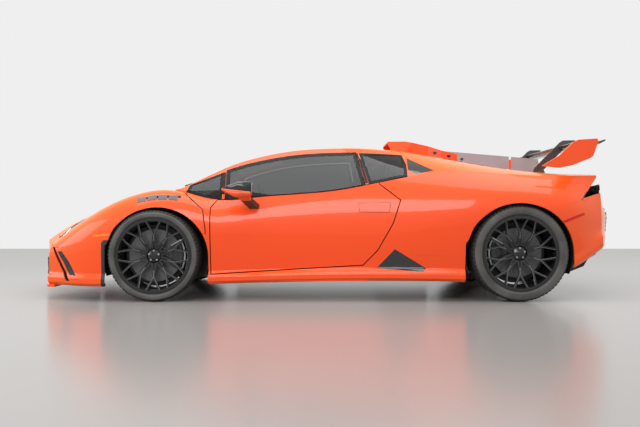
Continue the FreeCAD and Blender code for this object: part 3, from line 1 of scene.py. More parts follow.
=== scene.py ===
"""Looks of the track supercar: paint, glass, wheels, lamps, cabin and the studio round it.

Metres. +X points to the tail, +Y to the car's right, +Z up, as in the CAD model. Lines on the car's
left side are given as places in the photo, in pixels, and carried on to the CAD surface along the
line of sight.
"""
import bmesh
import bpy
import json
import math

from mathutils import Matrix, Vector
from mathutils.bvhtree import BVHTree


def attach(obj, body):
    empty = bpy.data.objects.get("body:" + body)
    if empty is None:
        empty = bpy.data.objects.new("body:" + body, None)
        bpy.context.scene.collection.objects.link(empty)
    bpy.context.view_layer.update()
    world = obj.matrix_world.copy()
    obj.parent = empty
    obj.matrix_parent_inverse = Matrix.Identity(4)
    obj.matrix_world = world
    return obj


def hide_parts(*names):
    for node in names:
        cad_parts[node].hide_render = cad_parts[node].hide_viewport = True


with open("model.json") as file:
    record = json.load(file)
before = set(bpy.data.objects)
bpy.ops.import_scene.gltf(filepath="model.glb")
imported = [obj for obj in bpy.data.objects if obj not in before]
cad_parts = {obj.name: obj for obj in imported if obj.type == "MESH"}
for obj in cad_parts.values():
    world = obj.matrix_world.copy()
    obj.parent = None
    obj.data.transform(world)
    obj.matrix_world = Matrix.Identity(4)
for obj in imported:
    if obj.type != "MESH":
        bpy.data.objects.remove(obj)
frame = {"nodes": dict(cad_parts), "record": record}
bpy.context.view_layer.update()

PHOTO_WIDTH = 640
HORIZON = 213.5
FOCAL_PIXELS = 737.0
EYE = Vector((0.0, -6.19, 0.63))

FRONT_AXLE = Vector((-1.190, 0.0, 0.3275))
REAR_AXLE = Vector((1.430, 0.0, 0.3455))
FRONT_TRACK = 1.668
REAR_TRACK = 1.620
FRONT_TYRE_WIDTH = 0.245
REAR_TYRE_WIDTH = 0.305
FRONT_DISC_RADIUS = 0.190
REAR_DISC_RADIUS = 0.180
SIDES = ((-1, "left"), (1, "right"))

# Finishes by name
MATERIALS = {}


# Camera and studio

def make_camera():
    """The camera at the photo's eye point, level, looking along +Y."""
    data = bpy.data.cameras.new("camera")
    data.sensor_width = 36.0
    data.lens = data.sensor_width * FOCAL_PIXELS / PHOTO_WIDTH
    camera = bpy.data.objects.new("camera", data)
    camera.location = EYE
    camera.rotation_euler = (math.radians(90), 0.0, 0.0)
    bpy.context.collection.objects.link(camera)
    bpy.context.scene.camera = camera
    bpy.context.scene.view_settings.view_transform = "Standard"


def add_node(tree, kind, values=None, feeds=None, **settings):
    """A shader node with its settings, with values on some inputs and sockets linked to others."""
    node = tree.nodes.new("ShaderNode" + kind)
    for name, value in settings.items():
        setattr(node, name, value)
    for name, value in (values or {}).items():
        node.inputs[name].default_value = value
    for name, socket in (feeds or {}).items():
        tree.links.new(socket, node.inputs[name])
    return node


def seen_directly(tree):
    """A socket that is 1 for camera, glossy and transmitted rays."""
    path = add_node(tree, "LightPath")
    total = path.outputs["Is Camera Ray"]
    for name in ("Is Glossy Ray", "Is Transmission Ray"):
        feeds = {0: total, 1: path.outputs[name]}
        total = add_node(tree, "Math", None, feeds, operation="MAXIMUM").outputs[0]
    return total


def make_world():
    """An even white light, shown a little greyer to the camera and in reflections."""
    world = bpy.data.worlds.new("studio")
    bpy.context.scene.world = world
    world.use_nodes = True
    tree = world.node_tree
    tree.nodes.clear()
    light = add_node(tree, "Background", {"Color": (1.0, 1.0, 1.0, 1), "Strength": 0.5})
    shown = add_node(tree, "Background", {"Color": (0.86, 0.865, 0.86, 1)})
    feeds = {0: seen_directly(tree), 1: light.outputs[0], 2: shown.outputs[0]}
    mix = add_node(tree, "MixShader", None, feeds)
    add_node(tree, "OutputWorld", None, {0: mix.outputs[0]})


def add_area(name, place, aim, size, power):
    """A rectangular soft lamp at a place, turned to the point it aims at."""
    data = bpy.data.lights.new(name, "AREA")
    data.shape = "RECTANGLE"
    data.size, data.size_y = size
    data.energy = power
    lamp = bpy.data.objects.new(name, data)
    lamp.location = place
    lamp.rotation_mode = "QUATERNION"
    lamp.rotation_quaternion = (Vector(aim) - Vector(place)).to_track_quat("-Z", "Y")
    bpy.context.collection.objects.link(lamp)


def floor_material():
    """Pale polished concrete, faintly clouded."""
    tree, shader = principled("pale_concrete", 0.22, specular=0.4)
    cloud = add_node(tree, "TexNoise", {"Scale": 1.3, "Detail": 8}).outputs["Fac"]
    ramp_from(tree, cloud, [(0.35, (0.33, 0.315, 0.30)), (0.7, (0.42, 0.405, 0.39))], shader)


def make_studio():
    """A pale floor under a white world, and soft lamps over and beside the car."""
    mesh = bpy.data.meshes.new("studio_floor")
    mesh.from_pydata([(-14, -14, 0), (14, -14, 0), (14, 7, 0), (-14, 7, 0)], [], [(0, 1, 2, 3)])
    floor = bpy.data.objects.new("studio_floor", mesh)
    floor_material()
    mesh.materials.append(MATERIALS["pale_concrete"])
    bpy.context.collection.objects.link(floor)
    add_area("top_lamp", (0.0, -1.2, 4.6), (0.0, 0.0, 0.0), (7.0, 3.0), 160)
    add_area("near_lamp", (-1.5, -6.0, 3.8), (0.0, 0.0, 0.5), (6.0, 2.0), 190)
    add_area("nose_lamp", (-6.0, -1.5, 2.6), (-1.5, 0.0, 0.4), (3.0, 2.4), 60)
    add_area("tail_lamp", (6.0, 0.5, 2.8), (1.5, 0.0, 0.6), (3.0, 2.4), 60)


# Materials

def principled(name, roughness, metallic=0.0, coat=0.0, specular=0.5):
    """A finish with one shader, kept under its name. Returns its tree and shader."""
    material = bpy.data.materials.new(name)
    material.use_nodes = True
    tree = material.node_tree
    tree.nodes.clear()
    values = {"Roughness": roughness, "Metallic": metallic, "Specular IOR Level": specular,
              "Coat Weight": coat, "Coat Roughness": 0.03}
    shader = add_node(tree, "BsdfPrincipled", values)
    add_node(tree, "OutputMaterial", None, {0: shader.outputs[0]})
    MATERIALS[name] = material
    return tree, shader


def object_place(tree, scale=(1, 1, 1), turn=(0, 0, 0)):
    """A socket with the place on the object, stretched and turned."""
    place = add_node(tree, "TexCoord").outputs["Object"]
    return add_node(tree, "Mapping", {"Scale": scale, "Rotation": turn}, {"Vector": place}).outputs[0]


def noise_at(tree, place, scale, detail=4):
    """A socket with cloudy noise at that scale."""
    return add_node(tree, "TexNoise", {"Scale": scale, "Detail": detail}, {"Vector": place}).outputs["Fac"]


def bump_from(tree, shader, height, strength, distance):
    """Makes the shader's surface rise and fall with a height socket."""
    bump = add_node(tree, "Bump", {"Strength": strength, "Distance": distance}, {"Height": height})
    tree.links.new(bump.outputs[0], shader.inputs["Normal"])


def ramp_from(tree, factor, stops, shader):
    """Colours a shader by a factor. stops are (position, colour)."""
    ramp = add_node(tree, "ValToRGB", None, {0: factor})
    elements = ramp.color_ramp.elements
    while len(elements) < len(stops):
        elements.new(0.5)
    for element, (position, colour) in zip(elements, stops):
        element.position = position
        element.color = (*colour, 1)
    tree.links.new(ramp.outputs[0], shader.inputs["Base Color"])


def vary_roughness(tree, shader, factor, low, high):
    """Makes the roughness run from low to high with a factor."""
    spread = add_node(tree, "MapRange", {"To Min": low, "To Max": high}, {"Value": factor})
    tree.links.new(spread.outputs[0], shader.inputs["Roughness"])


def times_plus(tree, socket, factor, added):
    """A socket with socket * factor + added."""
    return add_node(tree, "Math", {1: factor}, {0: socket, 2: added}, operation="MULTIPLY_ADD").outputs[0]


def mottled(name, low, high, scale, roughness, metallic=0.0, coat=0.0, bump=0.0, grain=400.0, specular=0.5):
    """A finish whose colour, roughness and surface vary finely from place to place."""
    tree, shader = principled(name, roughness, metallic, coat, specular)
    place = object_place(tree)
    cloud = noise_at(tree, place, scale, 5)
    ramp_from(tree, cloud, [(0.3, low), (0.7, high)], shader)
    vary_roughness(tree, shader, cloud, roughness * 0.85, min(1.0, roughness * 1.15))
    if bump:
        bump_from(tree, shader, noise_at(tree, place, grain), bump, 0.0006)


def orange_paint():
    """Orange lacquer with fine flakes and a painted sheen that turns it yellower at a slant, under a clear
    coat with a faint ripple.
    """
    tree, shader = principled("orange_paint", 0.34, 0.0, 0.55, 0.22)
    place = object_place(tree)
    facing = add_node(tree, "LayerWeight", {"Blend": 0.35}).outputs["Facing"]
    # Painted sheen: the colour runs from red orange face on to yellow orange at a slant, with the flakes'
    # fine noise added.
    slant = times_plus(tree, noise_at(tree, place, 1500.0, 2), 0.25, facing)
    stops = [(0.1, (1.0, 0.075, 0.006)), (0.45, (1.0, 0.11, 0.008)), (1.0, (1.0, 0.27, 0.015))]
    ramp_from(tree, slant, stops, shader)
    bump_from(tree, shader, noise_at(tree, place, 300.0), 0.02, 0.0003)


def carbon():
    """Twill weave: two stretched checks turned to the slant of the cloth, under lacquer."""
    tree, shader = principled("carbon", 0.32, 0.0, 0.6)
    slanted = object_place(tree, (1.0, 1.0, 1.0), (0.5, 0.8, 0.785))
    checks = add_node(tree, "TexChecker", {"Scale": 210.0}, {"Vector": slanted}).outputs["Fac"]
    wave = noise_at(tree, object_place(tree, (1.0, 1.0, 8.0)), 120.0, 2)
    stops = [(0.4, (0.012, 0.012, 0.013)), (1.1, (0.075, 0.076, 0.08))]
    ramp_from(tree, times_plus(tree, checks, 0.6, wave), stops, shader)
    bump_from(tree, shader, checks, 0.08, 0.0004)


def darker(colour, share):
    return tuple(share * c for c in colour)


def glass(name, colour, roughness=0.02):
    """See-through glass with a faint smear on its surface."""
    tree, shader = principled(name, roughness)
    place = object_place(tree)
    ramp_from(tree, noise_at(tree, place, 3.0), [(0.3, darker(colour, 0.9)), (0.7, colour)], shader)
    vary_roughness(tree, shader, noise_at(tree, place, 14.0), 0.5 * roughness, 1.5 * roughness)
    shader.inputs["Transmission Weight"].default_value = 1.0
    shader.inputs["IOR"].default_value = 1.45


def wave_at(tree, scale, distortion=0.0):
    """A socket with soft bands across the object."""
    values = {"Scale": scale, "Distortion": distortion}
    return add_node(tree, "TexWave", values, {"Vector": object_place(tree)}).outputs["Fac"]


def heat_tint():
    """Steel pipe, blued and browned by heat in bands along the pipe."""
    tree, shader = principled("exhaust_steel", 0.25, 1.0)
    stops = [(0.1, (0.30, 0.28, 0.26)), (0.5, (0.28, 0.22, 0.16)), (0.9, (0.18, 0.20, 0.30))]
    ramp_from(tree, wave_at(tree, 3.0, 2.0), stops, shader)


def lit(name, colour, strength):
    """A lens over small lamps: ribbed, glowing faintly."""
    tree, shader = principled(name, 0.2, 0.0, 0.1, 0.3)
    ramp_from(tree, wave_at(tree, 90.0), [(0.2, darker(colour, 0.6)), (0.8, colour)], shader)
    shader.inputs["Emission Color"].default_value = (*colour, 1)
    shader.inputs["Emission Strength"].default_value = strength


def brushed(name, colour, roughness):
    """Turned metal with fine lines."""
    tree, shader = principled(name, roughness, 0.85)
    lines = noise_at(tree, object_place(tree, (1.0, 14.0, 1.0)), 160.0, 3)
    ramp_from(tree, lines, [(0.3, darker(colour, 0.75)), (0.7, colour)], shader)
    bump_from(tree, shader, lines, 0.1, 0.0003)


def make_materials():
    """All finishes. mottled takes a dark and a light colour, the clouds' scale and the roughness."""
    orange_paint()
    carbon()
    mottled("black_gloss", (0.010, 0.010, 0.012), (0.016, 0.016, 0.018), 30.0, 0.1, 0.0, 0.7)
    mottled("black_matte", (0.014, 0.014, 0.015), (0.028, 0.028, 0.03), 60.0, 0.55, bump=0.35)
    # One rubber in two copies: a lighter one on the walls as painted light, and a darker one on the tread as
    # painted shade.
    mottled("tyre", (0.055, 0.053, 0.050), (0.130, 0.126, 0.118), 7.0, 0.75, bump=0.3, grain=700.0)
    mottled("shaded_tread_rubber", (0.018, 0.018, 0.018), (0.034, 0.033, 0.031), 14.0, 0.8, bump=0.3, grain=500.0)
    mottled("rim_black", (0.006, 0.006, 0.007), (0.011, 0.011, 0.012), 40.0, 0.14, 0.0, 0.35, specular=0.4)
    mottled("alloy", (0.34, 0.34, 0.35), (0.46, 0.46, 0.48), 40.0, 0.38, 0.85, bump=0.3, grain=260.0)
    mottled("seat_cloth", (0.012, 0.012, 0.013), (0.035, 0.034, 0.034), 500.0, 0.9, bump=0.6, grain=900.0)
    mottled("seat_stripe", (0.55, 0.06, 0.006), (0.75, 0.09, 0.01), 300.0, 0.8, bump=0.5, grain=900.0)
    mottled("caliper", (0.010, 0.010, 0.011), (0.02, 0.02, 0.021), 50.0, 0.3, 0.0, 0.4)
    mottled("reflector", (0.62, 0.63, 0.65), (0.75, 0.76, 0.78), 30.0, 0.08, 1.0)
    brushed("disc_steel", (0.15, 0.15, 0.155), 0.42)
    glass("tinted_glass", (0.12, 0.13, 0.135))
    glass("windscreen_glass", (0.60, 0.66, 0.65))
    # Painted highlights along the spokes' edges.
    mottled("painted_highlight_grey", (0.20, 0.20, 0.21), (0.30, 0.30, 0.31), 60.0, 0.3, 0.7)
    # The fin's light grey is a painted reflection.
    mottled("fin_reflection_grey", (0.30, 0.315, 0.34), (0.35, 0.365, 0.39), 9.0, 0.55, 0.0, 0.2)
    mottled("frit", (0.003, 0.003, 0.003), (0.006, 0.006, 0.007), 50.0, 0.28, specular=0.18)
    heat_tint()
    lit("lamp_clear", (0.035, 0.037, 0.042), 0.0)
    lit("lamp_white", (0.85, 0.9, 1.0), 1.2)
    lit("lamp_red", (0.55, 0.006, 0.004), 0.35)
    lit("lamp_amber", (0.9, 0.30, 0.02), 0.1)


def dress_nodes():
    """Gives every CAD node the finish of its slot. The fin's two blades take a light satin grey instead: a
    painted reflection of the light on the glossy fin.
    """
    for part in frame["record"]["subparts"]:
        node = frame["nodes"][part["node"]]
        node.data.materials.clear()
        finish = "fin_reflection_grey" if part["node"] in ("lid_fin", "deck_fin") else part["material_slot"]
        node.data.materials.append(MATERIALS[finish])


# Making pieces


def add_piece(name, vertices, faces, material, body, sharp=35):
    """A mesh object in the row frame that rides on a body."""
    mesh = bpy.data.meshes.new(name)
    mesh.from_pydata([tuple(v) for v in vertices], [], faces)
    mesh.shade_smooth()
    mesh.set_sharp_from_angle(angle=math.radians(sharp))
    mesh.materials.append(MATERIALS[material])
    piece = bpy.data.objects.new(name, mesh)
    bpy.context.collection.objects.link(piece)
    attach(piece, body)
    return piece


def surface_of(*names):
    """A search tree over the shown faces of CAD nodes, in the row frame."""
    vertices, faces = [], []
    for name in names:
        node = frame["nodes"][name]
        start = len(vertices)
        vertices += [node.matrix_world @ v.co for v in node.data.vertices]
        faces += [[start + i for i in polygon.vertices] for polygon in node.data.polygons]
    return BVHTree.FromPolygons(vertices, faces)


def resample(points, count):
    """count points at equal steps along a line of points."""
    lengths = [math.dist(a, b) for a, b in zip(points, points[1:])]
    whole = sum(lengths)
    result = []
    for k in range(count):
        left = whole * k / (count - 1)
        i = 0
        while i < len(lengths) - 1 and left > lengths[i]:
            left -= lengths[i]
            i += 1
        t = left / lengths[i] if lengths[i] else 0.0
        result.append([a + (b - a) * t for a, b in zip(points[i], points[i + 1])])
    return result


def sight(place):
    """The line of sight through a place in the photo, as a start and a direction."""
    ray = Vector(((place[0] - PHOTO_WIDTH / 2) / FOCAL_PIXELS, 1, (HORIZON - place[1]) / FOCAL_PIXELS))
    return EYE, ray.normalized()


def plumb(place):
    """The line straight down at (x, y)."""
    return Vector((place[0], place[1], 1.6)), Vector((0, 0, -1))


def abreast(place):
    """The line from the left at (x, z)."""
    return Vector((place[0], -3.2, place[1])), Vector((0, 1, 0))


def ahead(place):
    """The line from the front at (y, z)."""
    return Vector((-3.2, place[0], place[1])), Vector((1, 0, 0))


def astern(place):
    """The line from behind at (y, z)."""
    return Vector((3.2, place[0], place[1])), Vector((-1, 0, 0))


def hit_point(surface, line):
    """Where a line meets a surface, with the normal there turned to the viewer, or None."""
    start, ray = line
    hit, normal, _, _ = surface.ray_cast(start, ray)
    if hit is None:
        return None
    if normal.dot(ray) > 0:
        normal = -normal
    return hit, normal


def without_gaps(hits, columns):
    """The same grid of hits, with the nearest hit of the grid where there was none."""
    found = [k for k, hit in enumerate(hits) if hit]
    whole = []
    for k, hit in enumerate(hits):
        if not hit:
            near = min(found, key=lambda f: math.dist(divmod(f, columns), divmod(k, columns)))
            hit = hits[near]
        whole.append(hit)
    return whole


def plate_faces(rows, columns):
    """Faces of a closed plate whose outer grid comes first and whose inner grid follows."""
    faces = []
    inner = rows * columns
    for i in range(rows - 1):
        for j in range(columns - 1):
            a = i * columns + j
            face = (a, a + 1, a + 1 + columns, a + columns)
            faces.append(face)
            faces.append(tuple(inner + k for k in reversed(face)))
    edge = list(range(columns))
    edge += [i * columns + columns - 1 for i in range(1, rows)]
    edge += [(rows - 1) * columns + j for j in range(columns - 2, -1, -1)]
    edge += [i * columns for i in range(rows - 2, 0, -1)]
    for a, b in zip(edge, edge[1:] + edge[:1]):
        faces.append((b, a, inner + a, inner + b))
    return faces


def mirrored_points(points):
    return [Vector((p.x, -p.y, p.z)) for p in points]


def mirrored_faces(faces):
    return [tuple(reversed(face)) for face in faces]


def add_pair(name, vertices, faces, material, body):
    """A piece on the car's left side and its mirror image on the right. body may hold {side}."""
    add_piece(name + "_left", vertices, faces, material, body.format(side="left"))
    add_piece(name + "_right", mirrored_points(vertices), mirrored_faces(faces), material,
              body.format(side="right"))


def grid_between(lines, columns, rows):
    """A grid of places, evenly spread along each line and from one line to the next."""
    sampled = [resample(line, columns) for line in lines]
    grid = []
    for i in range(rows):
        t = i / (rows - 1) * (len(sampled) - 1)
        k = min(int(t), len(sampled) - 2)
        for p, q in zip(sampled[k], sampled[k + 1]):
            grid.append([a + (b - a) * (t - k) for a, b in zip(p, q)])
    return grid


def plate(name, lines, names, body, material, lift=0.001, depth=0.003, columns=20, rows=3, look=sight,
          both=True):
    """A thin plate on the car's skin between lines of places, and its mirror image on the other side.

    names are the CAD nodes it lies on, with {side} for the side, as in body.
    """
    surface = surface_of(*[n.format(side="left") for n in names])
    found = [hit_point(surface, look(place)) for place in grid_between(lines, columns, rows)]
    hits = without_gaps(found, columns)
    vertices = [p + n * lift for p, n in hits] + [p - n * depth for p, n in hits]
    faces = plate_faces(rows, columns)
    a, b, c = (vertices[i] for i in faces[0][:3])
    if (b - a).cross(c - a).dot(hits[0][1]) < 0:
        faces = mirrored_faces(faces)
    if both:
        add_pair(name, vertices, faces, material, body)
    else:
        add_piece(name, vertices, faces, material, body)


def stripe(line, width):
    """The two edges of a stripe of that width along a line of places."""
    upper, lower = [], []
    for i, p in enumerate(line):
        a, b = line[max(0, i - 1)], line[min(len(line) - 1, i + 1)]
        length = math.dist(a, b)
        across = ((b[1] - a[1]) / length * width / 2, (a[0] - b[0]) / length * width / 2)
        upper.append((p[0] + across[0], p[1] + across[1]))
        lower.append((p[0] - across[0], p[1] - across[1]))
    return [upper, lower]


def box_piece(name, centre, size, material, body, turn=None, bevel=0.003):
    """A block with rounded edges. turn is a rotation matrix about its centre."""
    half = Vector(size) / 2
    corners = []
    for x in (-half.x, half.x):
        for y in (-half.y, half.y):
            for z in (-half.z, half.z):
                corners.append(Vector((x, y, z)))
    if turn:
        corners = [turn @ c for c in corners]
    faces = [(0, 1, 3, 2), (4, 6, 7, 5), (0, 4, 5, 1), (2, 3, 7, 6), (0, 2, 6, 4), (1, 5, 7, 3)]
    piece = add_piece(name, [Vector(centre) + c for c in corners], faces, material, body)
    round_edges(piece, bevel, 3)


def round_edges(piece, width, segments):
    rounding = piece.modifiers.new("rounding", "BEVEL")
    rounding.width = width
    rounding.segments = segments
    return rounding


def ring_faces(rings, count, closed):
    """Faces of a skin over rings of count points each, closed back to the first ring or open."""
    faces = []
    for k in range(rings if closed else rings - 1):
        here, there = k * count, (k + 1) % rings * count
        for j in range(count):
            following = (j + 1) % count
            faces.append((here + j, here + following, there + following, there + j))
    return faces


def about(centre, radius, angle, out):
    """The place at a radius and an angle about an axle, and that far along it."""
    return centre + Vector((radius * math.cos(angle), out, radius * math.sin(angle)))


def lathe(name, profile, centre, sign, material, body, segments=64, start=0.0, sweep=360.0):
    """A form turned about the axle, closed at its ends where the sweep isn't whole.

    profile is a closed line of (distance outwards, radius).
    """
    whole = sweep >= 360.0
    rings = segments if whole else segments + 1
    vertices = []
    for k in range(rings):
        a = math.radians(start + sweep * k / segments)
        for out, radius in profile:
            vertices.append(about(centre, radius, a, sign * out))
    count = len(profile)
    faces = ring_faces(rings, count, whole)
    if not whole:
        faces.append(tuple(range(count)))
        faces.append(tuple(reversed(range(segments * count, (segments + 1) * count))))
    if sign > 0:
        faces = mirrored_faces(faces)
    return add_piece(name, vertices, faces, material, body)


# Wheels

TREAD_PITCHES = 72
# Places of a pitch's columns along the tread, and whether each lies in the cross groove
PITCH_COLUMNS = ((0.0, False), (0.07, True), (0.24, True), (0.31, False), (0.65, False))
# Points of the tyre's profile before its tread and after it
WALL_POINTS = 11
# Each rain groove's middle, as a share of the tread's half width, and its width
RAIN_GROOVES = ((0.72, 0.010), (0.26, 0.012))
RAIN_GROOVE_DEPTH = 0.0065
TREAD_CROWN = 0.0045


def tyre_profile(radius, width):
    """(outwards, radius, depth of the cross groove) from the outer bead over the tread to the inner bead."""
    half = width / 2
    bead = [(half - 0.0195, 0.2545, 0), (half - 0.0192, 0.272, 0), (half - 0.010, 0.2765, 0),
            (half - 0.004, 0.281, 0)]
    wall = [(half - 0.0012, 0.287, 0), (half, 0.2925, 0), (half - 0.0012, 0.2935, 0),
            (half - 0.0012, 0.2965, 0), (half, 0.2975, 0), (half, radius - 0.026, 0)]
    shoulder = [(half - 0.002, radius - 0.021, 0), (half - 0.0035, radius - 0.0165, 0.0012),
                (half - 0.008, radius - 0.0115, 0.003), (half - 0.018, radius - 0.0045, 0.005)]
    flat = half - 0.018
    tread = []
    for share, groove in RAIN_GROOVES:
        for edge, deep in ((1, 0), (0.85, RAIN_GROOVE_DEPTH), (-0.85, RAIN_GROOVE_DEPTH), (-1, 0)):
            out = share * flat + edge * groove / 2
            cut = 0 if tread else 0.004
            tread.append((out, radius - TREAD_CROWN * (out / flat) ** 2 - deep, cut))
    right = bead + wall + shoulder + tread
    return right + [(0.0, radius, 0)] + [(-out, r, cut) for out, r, cut in reversed(right)]


def make_tyre(name, axle, track, width, sign, body):
    """Tyre with rain grooves round it and cross grooves in its shoulders."""
    profile = tyre_profile(axle.z, width)
    centre = Vector((axle.x, sign * track / 2, axle.z))
    vertices = []
    for k in range(TREAD_PITCHES):
        for share, grooved in PITCH_COLUMNS:
            a = 2 * math.pi * (k + share) / TREAD_PITCHES - math.pi / 2
            for out, r, cut in profile:
                r -= cut if grooved else 0.0
                vertices.append(about(centre, r, a, sign * out))
    count = len(profile)
    faces = ring_faces(TREAD_PITCHES * len(PITCH_COLUMNS), count, True)
    if sign > 0:
        faces = mirrored_faces(faces)
    tyre = add_piece("rubber_" + name, vertices, faces, "tyre", body, 28)
    tyre.data.materials.append(MATERIALS["shaded_tread_rubber"])
    # The tread's faces take the darker copy of the rubber: painted shade.
    for index, polygon in enumerate(tyre.data.polygons):
        if WALL_POINTS <= index % count < count - 1 - WALL_POINTS:
            polygon.material_index = 1
    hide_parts("tyre_" + name)


# How far the rim's face lies inside the tyre's wall
RIM_INSET = 0.012
# The disc's outer face, outwards of the wheel's middle plane
DISC_FACE = 0.0195
DISC_HOLE_RINGS = (0.105, 0.125, 0.145, 0.165)
# How far the dust shields stand behind the wheels' middle planes, clear of the front arms' ends
SHIELD_BACK = {"front": 0.036, "rear": 0.060}


def wheel_dressing(name, axle, track, width, sign, body):
    """Centre cap, bolts, hub teeth, valve, disc holes as dots of painted shade, the rim's edge and painted
    spoke highlights.
    """
    face = width / 2 - RIM_INSET
    centre = Vector((axle.x, sign * track / 2, axle.z))
    cap = [(face - 0.030, 0.0), (face - 0.030, 0.0195), (face - 0.0245, 0.0195), (face - 0.0225, 0.0175),
           (face - 0.0220, 0.0)]
    lathe("centre_cap_" + name, cap, centre, sign, "rim_black", body, 40)
    holes = []
    # The disc's drill holes are thin black dots on its face: painted shade in the holes.
    for ring, radius in enumerate(DISC_HOLE_RINGS):
        holes += ring_of(24, 5 * ring, radius, 0.0032, DISC_FACE, DISC_FACE + 0.0011)
    posts = (("hub_teeth", ring_of(20, 0, 0.058, 0.0035, face - 0.054, face - 0.047), "rim_black", 6),
             ("wheel_bolts", ring_of(5, 18, 0.036, 0.0075, face - 0.040, face - 0.026), "alloy", 6),
             ("disc_hole_shade_dots", holes, "black_matte", 10),
             ("disc_bolts", ring_of(10, 0, 0.082, 0.005, DISC_FACE, DISC_FACE + 0.005), "alloy", 8),
             ("valve", ring_of(1, 0, 0.236, 0.0035, face - 0.036, face - 0.008), "rim_black", 10))
    for kind, places, material, corners in posts:
        studs(name + "_" + kind, places, centre, sign, material, body, corners)
    edge = [(face - 0.0010, 0.2535), (face + 0.0004, 0.2545), (face + 0.0004, 0.2695),
            (face - 0.0010, 0.2705)]
    lathe("rim_edge_" + name, edge, centre, sign, "rim_black", body, 120)
    painted_spoke_highlights(name, face, centre, sign, body)


def brake_dressing(name, axle, track, r, sign, carrier, caliper_at):
    """Caliper with its pots over a disc of radius r, at that angle from the rear, and the dust shield."""
    centre = Vector((axle.x, sign * track / 2, axle.z))
    jaw = [(-0.044, r - 0.066), (-0.044, r + 0.012), (-0.034, r + 0.022), (0.040, r + 0.022),
           (0.050, r + 0.012), (0.052, r - 0.030), (0.046, r - 0.066), (0.024, r - 0.066),
           (0.024, r + 0.006), (-0.018, r + 0.006), (-0.018, r - 0.066)]
    caliper = lathe("caliper_" + name, jaw, centre, sign, "caliper", carrier, 24, caliper_at - 30, 60)
    round_edges(caliper, 0.003, 2).limit_method = "ANGLE"
    back = SHIELD_BACK[name.split("_")[0]]
    shield = [(-back, 0.075), (-back, 0.222), (0.003 - back, 0.224), (0.006 - back, 0.222),
              (0.006 - back, 0.075)]
    lathe("dust_shield_" + name, shield, centre, sign, "black_matte", carrier, 72)
    pots = [(math.radians(caliper_at + a), r - 0.034, 0.013, 0.050, 0.0555) for a in (-20, 0, 20)]
    studs(name + "_caliper_pots", pots, centre, sign, "caliper", carrier, 20)


SPOKES = 10
# The line along a spoke's edge: radius, degrees from the spoke's middle, distance behind the rim's face
SPOKE_EDGE = ((0.060, -11.5, 0.0335), (0.157, 1.6, 0.0216), (0.248, 12.0, 0.0020))
LINE_HALF_WIDTH = 0.0009
LINE_THICKNESS = 0.0012
LINE_LIFT = 0.0003


def painted_spoke_highlights(name, face, centre, sign, body):
    """A painted highlight: a fine bright line along the edge of each blade, from the hub over the node to the
    rim.
    """
    vertices, faces = [], []
    low = Vector((0, -sign * LINE_THICKNESS, 0))
    for k in range(SPOKES):
        for hand in (-1, 1):
            start = len(vertices)
            for radius, degrees, back in SPOKE_EDGE:
                a = math.radians(360 // SPOKES * k + 90 + hand * degrees)
                side = Vector((-math.sin(a), 0, math.cos(a))) * LINE_HALF_WIDTH
                middle = about(centre, radius, a, sign * (face - back + LINE_LIFT))
                vertices += [middle - side, middle + side, middle + side + low, middle - side + low]
            last = 4 * (len(SPOKE_EDGE) - 1)
            skin = ring_faces(len(SPOKE_EDGE), 4, False)
            skin += [(3, 2, 1, 0), (last, last + 1, last + 2, last + 3)]
            faces += [tuple(start + i for i in corners) for corners in skin]
    if sign > 0:
        faces = mirrored_faces(faces)
    add_piece("painted_spoke_highlights_" + name, vertices, faces, "painted_highlight_grey", body)


def ring_of(count, first, radius, size, inner, outer):
    """Places of studs evenly round the axle, the first at that angle in degrees."""
    return [(math.radians(360 // count * k + first), radius, size, inner, outer) for k in range(count)]


def studs(name, places, centre, sign, material, body, corners):
    """Small posts along the axle. Each place is (angle, radius, half size, inner end, outer end)."""
    vertices, faces = [], []
    for angle, radius, size, inner, outer in places:
        middle = about(centre, radius, angle, 0)
        start = len(vertices)
        for out, grow in ((inner, 1.0), (outer - 0.15 * size, 1.0), (outer, 0.85)):
            for k in range(corners):
                a = angle + 2 * math.pi * (k + 0.5) / corners
                vertices.append(about(middle, grow * size, a, sign * out))
        skin = ring_faces(3, corners, False)
        skin.append(tuple(reversed(range(corners))))
        skin.append(tuple(range(2 * corners, 3 * corners)))
        faces += [tuple(start + i for i in face) for face in skin]
    if sign > 0:
        faces = mirrored_faces(faces)
    add_piece(name, vertices, faces, material, body)


def make_wheels():
    """All four tyres, and what dresses the plain rims, discs and brakes."""
    for sign, side in SIDES:
        front = ("front_" + side, FRONT_AXLE, FRONT_TRACK)
        rear = ("rear_" + side, REAR_AXLE, REAR_TRACK)
        for corner, width in ((front, FRONT_TYRE_WIDTH), (rear, REAR_TYRE_WIDTH)):
            make_tyre(*corner, width, sign, "wheel_" + corner[0])
        wheel_dressing(*front, FRONT_TYRE_WIDTH, sign, "wheel_front_" + side)
        brake_dressing(*front, FRONT_DISC_RADIUS, sign, "knuckle_front_" + side, 0)
        wheel_dressing(*rear, REAR_TYRE_WIDTH, sign, "wheel_rear_" + side)
        brake_dressing(*rear, REAR_DISC_RADIUS, sign, "chassis", 180)


# Glass borders

# Places nearer than this on an edge are taken as one, and an edge of no more than so many is no pane's
LOOP_STEP = 0.004
SHORTEST_LOOP = 8
BORDER_LIFT = 0.0012
BORDER_SINK = 0.002


